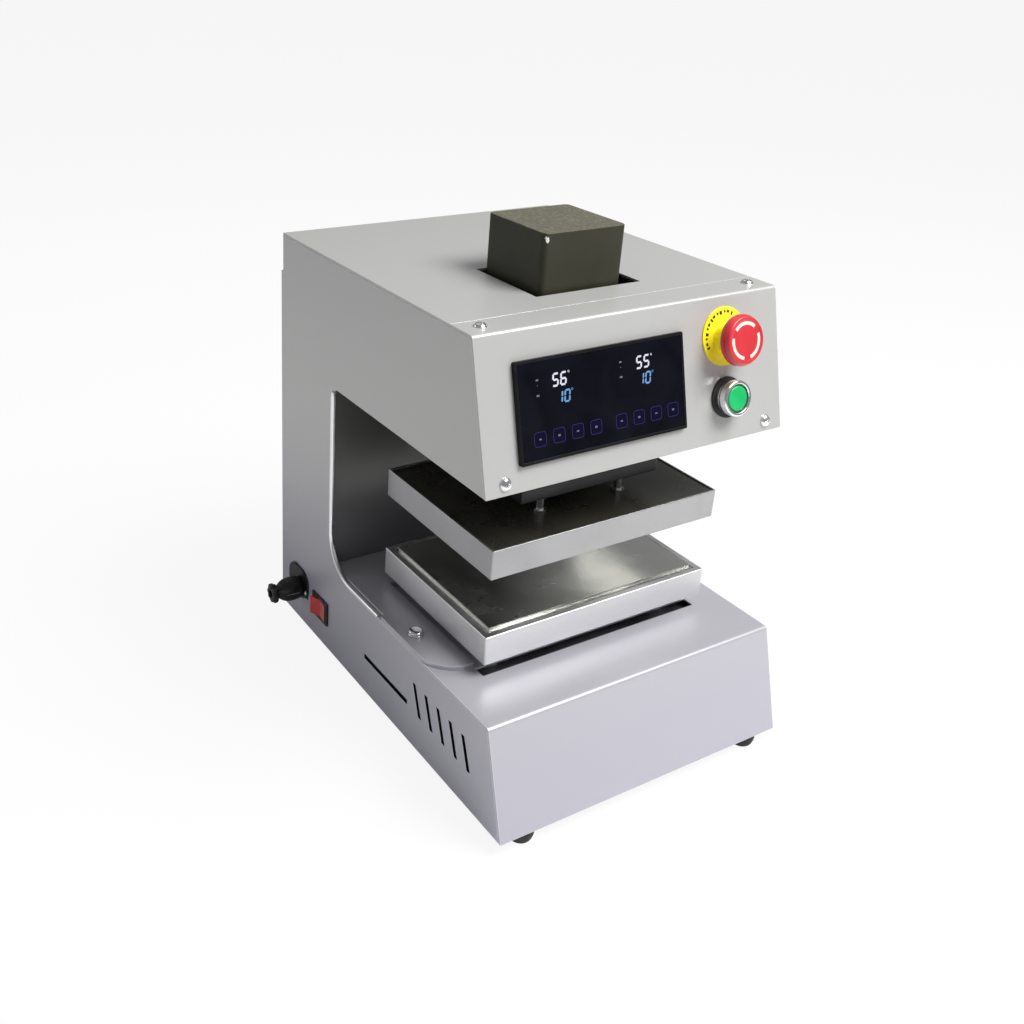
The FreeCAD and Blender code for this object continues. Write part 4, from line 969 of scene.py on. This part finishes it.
class STAMPER_OT_display(bpy.types.Operator):
    """Display frame, glass, numbers and touch keys"""
    bl_idname = "stamper.display"
    bl_label = "Display"

    SEGMENTS = {0: "abcdef", 1: "bc", 2: "abged", 3: "abgcd", 4: "fgbc", 5: "afgcd", 6: "afgedc",
                7: "abc", 8: "abcdefg", 9: "abcdfg"}
    LEAN = 0.12

    def execute(self, context):
        settings = context.scene.press_display
        dressed("display_frame", "bezel", 0.35 * MM, 3)
        low, high = panel_span("display_glass")
        self.low, self.size, self.face = low, high - low, high.z
        outline = rounded_rectangle((low.x + high.x) / 2, (low.y + high.y) / 2,
                                    self.size.x, self.size.y, 1 * MM)
        pane = slab(outline, low.z, high.z, PANEL, 0.4 * MM, 3)
        added("display_glass_pane", "display_glass", "pane", pane, True)
        tall = settings.digit_height
        self.number("heat_left", settings.left_heat, (0.232, 0.785), tall, "digit_white")
        self.number("time_left", settings.left_time, (0.250, 0.600), tall * 0.95, "digit_blue")
        self.number("heat_right", settings.right_heat, (0.745, 0.795), tall, "digit_white")
        self.number("time_right", settings.right_time, (0.752, 0.615), tall * 0.95, "digit_blue")
        self.icons()
        self.keys()
        return {"FINISHED"}

    def spot(self, across, up):
        """A place on the glass from its fractions, from the lower left."""
        return self.low.x + across * self.size.x, self.low.y + up * self.size.y

    def raise_flat(self, outlines, high=0.06 * MM):
        return joined([slab(o, self.face - 0.02 * MM, self.face + high, PANEL) for o in outlines])

    def segment(self, name, x, y, width, height, thick):
        """Outline of one bar of a seven-bar digit."""
        half = height / 2
        bars = {
            "a": ((x, y + height), (x + width, y + height)), "d": ((x, y), (x + width, y)),
            "g": ((x, y + half), (x + width, y + half)), "f": ((x, y + half), (x, y + height)),
            "e": ((x, y), (x, y + half)), "b": ((x + width, y + half), (x + width, y + height)),
            "c": ((x + width, y), (x + width, y + half)),
        }
        start, end = (Vector(p) for p in bars[name])
        along = (end - start).normalized()
        aside = Vector((-along.y, along.x)) * thick / 2
        start += along * thick * 0.35
        end -= along * thick * 0.35
        tip = along * thick * 0.4
        points = [start - tip * 0.5, start + aside, end + aside, end + tip * 0.5, end - aside, start - aside]
        return [(p.x + (p.y - y) * self.LEAN, p.y) for p in points]

    def number(self, name, value, centre, tall, look):
        width, thick = tall * 0.52, tall * 0.17
        digits = [int(c) for c in str(value)]
        step = width * 1.6
        x, y = self.spot(*centre)
        x -= (step * (len(digits) - 1) + width) / 2
        outlines = []
        for place, digit in enumerate(digits):
            for bar in self.SEGMENTS[digit]:
                outlines.append(self.segment(bar, x + place * step, y - tall / 2, width, tall, thick))
        end = x + len(digits) * step + width * 0.1
        outlines.append([(end + a, y + tall * 0.5 + b) for a, b in band(0.5 * MM, 0.85 * MM, 0, 359, 20)])
        added("display_" + name, "display_glass", look, self.raise_flat(outlines))

    def icons(self):
        """Small lamps and signs to the left of each number."""
        outlines = []
        for across, rise in ((0.105, 0.015), (0.607, 0.035)):
            for up, size in ((0.80 + rise, 1.5), (0.745 + rise, 0.6), (0.64 + rise, 1.7)):
                x, y = self.spot(across, up)
                outlines.append(rounded_rectangle(x, y, size * MM * 1.5, size * MM * 0.8, 0.25 * MM, 3))
        added("display_icons", "display_glass", "icon", self.raise_flat(outlines))

    def keys(self):
        """Eight touch keys: a rounded outline each, with a small sign inside."""
        frames, signs, fills = [], [], []
        side, line = 11.0 * MM, 0.35 * MM
        for group in (0.101, 0.595):
            for number in range(4):
                x, y = self.spot(group + number * 0.1115, 0.205)
                outer = rounded_rectangle(x, y, side, side, 2.2 * MM)
                inner = rounded_rectangle(x, y, side - 2 * line, side - 2 * line, 1.9 * MM)
                frames.append(self.hollow(outer, inner))
                fills.append(inner)
                tall = 1.1 * MM + 0.4 * MM * (number % 2)
                signs.append(rounded_rectangle(x, y, 2.2 * MM, tall, 0.3 * MM, 3))
        added("touch_key_frames", "display_glass", "key_line", joined(frames))
        added("touch_key_fills", "display_glass", "key_fill", self.raise_flat(fills, 0.02 * MM))
        added("touch_key_signs", "display_glass", "key_sign", self.raise_flat(signs))

    def hollow(self, outer, inner):
        """A thin closed line between two outlines with as many points."""
        mesh = bmesh.new()
        sunk, proud = self.face - 0.02 * MM, self.face + 0.05 * MM
        loops = ((outer, sunk), (outer, proud), (inner, proud), (inner, sunk))
        rings = [[mesh.verts.new(PANEL @ Vector((x, y, z))) for x, y in shape] for shape, z in loops]
        for low, high in zip(rings, rings[1:] + rings[:1]):
            for number in range(len(outer)):
                following = (number + 1) % len(outer)
                mesh.faces.new((low[number], low[following], high[following], high[number]))
        return mesh


class STAMPER_OT_emergency_stop(bpy.types.Operator):
    """Yellow ring, collar and mushroom cap of the emergency stop"""
    bl_idname = "stamper.emergency_stop"
    bl_label = "Emergency Stop"

    def execute(self, context):
        place = PANEL @ Matrix.Translation(on_panel("estop_cap"))
        self.disc(place)
        self.cap(place)
        dressed("estop_collar", "yellow", 0.4 * MM)
        return {"FINISHED"}

    def disc(self, place):
        """The yellow disc sits a little above the button's axis, with small marks round its rim."""
        low, high = panel_span("estop_legend_ring")
        radius, thick, bore = (high.x - low.x) / 2, high.z, 11.5 * MM
        rise = on_panel("estop_legend_ring").y - on_panel("estop_cap").y

        def uncentred(angle, reach, level):
            if reach < bore * 1.1:
                return reach
            aside = rise * math.cos(angle)
            return rise * math.sin(angle) + math.sqrt(reach ** 2 - aside ** 2)

        profile = rounded([(bore, 0), (radius, 0), (radius, thick), (bore, thick)], 0.4 * MM)
        mesh = lathe(profile + [profile[0]], place, 128, uncentred)
        added("estop_legend_disc", "estop_legend_ring", "yellow", mesh, True)
        rim = place @ Matrix.Translation((0, rise, 0))
        marks = []
        for number in range(13):
            start = 62 + number * 11.5
            inner = radius * (0.80 if number % 3 else 0.76)
            marks.append(slab(band(inner, radius * 0.88, start, start + 4.5 + 2.5 * (number % 2), 4),
                              thick, thick + 0.16 * MM, rim))
        added("estop_disc_marks", "estop_legend_ring", "ink", joined(marks))

    def cap(self, place):
        """A mushroom with a rounded rim, a shallow dish in its face and three curved bars."""
        low, high = panel_span("estop_cap")
        radius, back, front = (high.x - low.x) / 2, low.z, high.z
        tall = front - back
        dish = front - 0.35 * MM
        profile = rounded([(0, back), (radius * 0.58, back), (radius * 0.60, back + tall * 0.06),
                           (radius * 0.86, back + tall * 0.10), (radius, back + tall * 0.26),
                           (radius, back + tall * 0.70), (radius * 0.90, front),
                           (radius * 0.80, front), (radius * 0.76, dish), (0, dish)], 2.2 * MM, 6)
        turned("estop_cap", "red", profile, place, 128, "estop_cap_moulded")
        bars = []
        for middle_angle in (92, 212, 332):
            bars.append(slab(band(radius * 0.605, radius * 0.735, middle_angle - 46, middle_angle + 46),
                             dish - 0.1 * MM, dish + 0.12 * MM, place))
        added("estop_cap_bars", "estop_cap", "ivory", joined(bars))


class STAMPER_OT_start_button(bpy.types.Operator):
    """Gasket, bright rim and green cap of the start button"""
    bl_idname = "stamper.start_button"
    bl_label = "Start Button"

    def execute(self, context):
        place = PANEL @ Matrix.Translation(on_panel("start_button_gasket"))
        low, high = panel_span("start_button_gasket")
        radius = (high.x - low.x) / 2
        corners = [(11.3 * MM, 0), (radius, 0), (radius * 0.985, high.z), (11.3 * MM, high.z)]
        profile = rounded(corners, 0.7 * MM)
        turned("start_button_gasket", "rubber", profile + [profile[0]], place)
        self.rim(place)
        self.cap(place)
        return {"FINISHED"}

    def rim(self, place):
        low, high = panel_span("start_button_bezel")
        radius, front, back = (high.x - low.x) / 2, high.z, low.z
        well, floor = 11.5 * MM, 4 * MM
        profile = [(5.2 * MM, back), (11 * MM, back), (11 * MM, 2 * MM), (radius * 0.95, 2 * MM),
                   (radius * 0.965, front * 0.42), (radius, front * 0.60), (radius, front - 1.0 * MM),
                   (radius - 0.9 * MM, front), (well + 0.5 * MM, front), (well, front - 0.8 * MM),
                   (well, floor), (5.2 * MM, floor), (5.2 * MM, back)]
        turned("start_button_bezel", "chrome", rounded(profile, 0.45 * MM), place, 128)

    def cap(self, place):
        low, high = panel_span("start_button_cap")
        radius, front, back = (high.x - low.x) / 2, high.z, low.z
        edge = front - 3.8 * MM
        profile = [(0, back), (5.1 * MM, back), (5.1 * MM, edge), (radius, edge), (radius, front - 0.6 * MM),
                   (radius - 1.3 * MM, front - 0.5 * MM), (radius - 1.9 * MM, front), (0, front)]
        turned("start_button_cap", "green", rounded(profile, 0.35 * MM), place, 96)
        ring = rounded([(radius - 1.35 * MM, front - 0.7 * MM), (radius - 0.02 * MM, front - 0.7 * MM),
                        (radius - 0.02 * MM, front - 0.35 * MM), (radius - 1.35 * MM, front - 0.35 * MM)],
                       0.1 * MM)
        added("start_cap_ring", "start_button_cap", "dark_green", lathe(ring + [ring[0]], place, 96))


class STAMPER_OT_fasteners(bpy.types.Operator):
    """Cover screws, bed bolts and rubber feet"""
    bl_idname = "stamper.fasteners"
    bl_label = "Fasteners and Feet"

    def execute(self, context):
        self.cover_screws()
        self.bed_bolts()
        self.feet()
        return {"FINISHED"}

    def cover_screws(self):
        panel_high = box("front_panel")[1]
        rear = box("rear_cover")[1].y
        heads, washers = [], []
        for low, high in islands("cover_screws"):
            centre = (low + high) / 2
            radius = (high.x - low.x) / 2
            if high.y > rear:
                place = Matrix.Translation((centre.x, rear, centre.z)) @ Matrix.Rotation(-math.pi / 2, 4, "X")
            elif low.z >= panel_high.z - 0.5 * MM:
                place = Matrix.Translation((centre.x, centre.y, panel_high.z))
            else:
                flat = PANEL.inverted() @ centre
                place = PANEL @ Matrix.Translation((flat.x, flat.y, 0))
            heads.append(screw_head(place @ Matrix.Translation((0, 0, 0.5 * MM)), radius * 0.90, 2.2 * MM,
                                    radius * 0.34))
            rim = rounded([(0, 0), (radius, 0), (radius, 0.6 * MM), (0, 0.6 * MM)], 0.15 * MM)
            washers.append(lathe(rim, place, 64))
        added("cover_screw_heads", "cover_screws", "chrome", joined(heads + washers), True)

    def bed_bolts(self):
        bolts = []
        for low, high in islands("bed_plate_bolts"):
            radius, tall = (high.x - low.x) / 2, high.z - low.z
            place = Matrix.Translation(((low.x + high.x) / 2, (low.y + high.y) / 2, low.z))
            profile = rounded([(0, 0), (radius, 0), (radius, tall * 0.26), (radius * 0.94, tall * 0.32),
                               (radius * 0.92, tall * 0.78), (radius * 0.62, tall), (0, tall)], 1.8 * MM, 6)
            bolts.append(lathe(profile, place))
        added("bed_bolt_domes", "bed_plate_bolts", "bright", joined(bolts), True)

    def feet(self):
        feet = []
        for low, high in islands("rubber_feet"):
            radius, tall = (high.x - low.x) / 2, high.z - low.z
            place = Matrix.Translation(((low.x + high.x) / 2, (low.y + high.y) / 2, low.z))
            profile = rounded([(0, 0), (radius * 0.80, 0), (radius, tall * 0.55), (radius, tall), (0, tall)],
                              3.6 * MM, 6)
            feet.append(lathe(profile, place, 64))
        added("rubber_feet_moulded", "rubber_feet", "rubber", joined(feet), True)


class STAMPER_OT_power_entry(bpy.types.Operator):
    """Power inlet, its connector and the rocker switch"""
    bl_idname = "stamper.power_entry"
    bl_label = "Power Entry"

    def execute(self, context):
        dressed("power_inlet", "black", 0.5 * MM)
        dressed("rocker_frame", "black", 0.5 * MM, 3)
        self.connector()
        self.inlet_screw()
        self.paddle()
        return {"FINISHED"}

    def connector(self):
        """A moulded body with flat sides, a parting ridge and a lobed gland nut."""
        low, high = box("power_connector")
        centre = (low + high) / 2
        length = high.x - low.x
        place = Matrix.Translation((high.x, centre.y, centre.z)) @ Matrix.Rotation(-math.pi / 2, 4, "Y")
        half = (high.z - low.z) / 2
        stations = [(0.0, 0.84), (0.10, 0.93), (0.32, 1.0), (0.52, 0.95), (0.66, 0.76), (0.76, 0.54),
                    (0.83, 0.50)]
        side = [(half * wide, length * along) for along, wide in stations]
        profile = [(0, 0)] + side + [(0, length * 0.83)]

        def flattened(angle, reach, level):
            """Squarer and thinner than round, with a thin ridge along each side."""
            c, s = abs(math.cos(angle)), abs(math.sin(angle))
            squared = reach / (c ** 2.6 + (s * 1.12) ** 2.6) ** (1 / 2.6)
            ridge = 0.35 * MM if s > 0.995 else 0.0
            return squared + ridge

        body = lathe(rounded(profile, 2.5 * MM, 5), place, 128, flattened)

        def lobed(angle, reach, level):
            return reach * (1 + 0.10 * math.cos(8 * angle))

        start = length * 0.80
        nut_profile = [(3.8 * MM, start), (half * 0.64, start), (half * 0.78, start + 1.5 * MM),
                       (half * 0.80, length - 1.5 * MM), (half * 0.62, length), (3.8 * MM, length),
                       (3.8 * MM, start)]
        nut = lathe(rounded(nut_profile, 0.8 * MM), place, 128, lobed)
        added("power_connector_moulded", "power_connector", "black", joined([body, nut]), True)
        self.parting_line(place, half, length)

    def parting_line(self, place, half, length):
        """A pale strip along the moulding seam on the front of the body: a painted highlight."""
        mesh = bmesh.new()
        rows = []
        for step in range(13):
            along = 0.16 + 0.42 * step / 12
            swell = half * (1 - 1.6 * (along - 0.33) ** 2) / 1.12
            out = swell + 0.45 * MM
            wide = 0.35 * MM * math.sin(math.pi * (step + 0.6) / 13.2)
            corners = [(wide, -out), (wide, -swell * 0.97), (-wide, -swell * 0.97), (-wide, -out)]
            rows.append([mesh.verts.new(place @ Vector((x, y, length * along))) for x, y in corners])
        for near, far in zip(rows, rows[1:]):
            for number in range(4):
                following = (number + 1) % 4
                mesh.faces.new((near[number], near[following], far[following], far[number]))
        mesh.faces.new(rows[0])
        mesh.faces.new(list(reversed(rows[-1])))
        added("connector_seam_highlight", "power_connector", "parting", mesh)

    def inlet_screw(self):
        """The bright screw at the front end of the inlet's flange."""
        low = box("power_inlet")[0]
        turn = Matrix.Rotation(-math.pi / 2, 4, "Y")
        place = Matrix.Translation((low.x, low.y + 3.4 * MM, middle("power_connector").z - 1.5 * MM)) @ turn
        added("inlet_screw", "power_inlet", "bright", screw_head(place, 2.3 * MM, 1.2 * MM, 0.8 * MM))

    def paddle(self):
        """The rocker: a dished red key, longer ends standing out."""
        dressed("rocker_paddle", "switch_red", 0.7 * MM, 4, 12)


CLASSES = (
    PressFinish, DisplaySettings, StudioSettings, STAMPER_OT_stage, STAMPER_OT_finishes,
    STAMPER_OT_covers, STAMPER_OT_platens, STAMPER_OT_ram, STAMPER_OT_display,
    STAMPER_OT_emergency_stop, STAMPER_OT_start_button, STAMPER_OT_fasteners,
    STAMPER_OT_power_entry,
)
OPERATORS = [kind for kind in CLASSES if issubclass(kind, bpy.types.Operator)]


class STAMPER_PT_panel(bpy.types.Panel):
    """Lists the pieces of the press and their settings"""
    bl_idname = "STAMPER_PT_panel"
    bl_label = "Stamping Press"
    bl_space_type = "VIEW_3D"
    bl_region_type = "UI"
    bl_category = "Press"

    def draw(self, context):
        layout = self.layout
        for name in ("press_finish", "press_display", "press_studio"):
            group = getattr(context.scene, name)
            section = layout.box()
            for key in group.bl_rna.properties.keys():
                if key not in ("rna_type", "name"):
                    section.prop(group, key)
        for kind in OPERATORS:
            layout.operator(kind.bl_idname)


def register():
    for kind in CLASSES + (STAMPER_PT_panel,):
        bpy.utils.register_class(kind)
    bpy.types.Scene.press_finish = PointerProperty(type=PressFinish)
    bpy.types.Scene.press_display = PointerProperty(type=DisplaySettings)
    bpy.types.Scene.press_studio = PointerProperty(type=StudioSettings)


def unregister():
    for name in ("press_finish", "press_display", "press_studio"):
        delattr(bpy.types.Scene, name)
    for kind in reversed(CLASSES + (STAMPER_PT_panel,)):
        bpy.utils.unregister_class(kind)


def main():
    register()
    for kind in OPERATORS:
        area, name = kind.bl_idname.split(".")
        getattr(getattr(bpy.ops, area), name)()


if __name__ == "__main__":
    main()
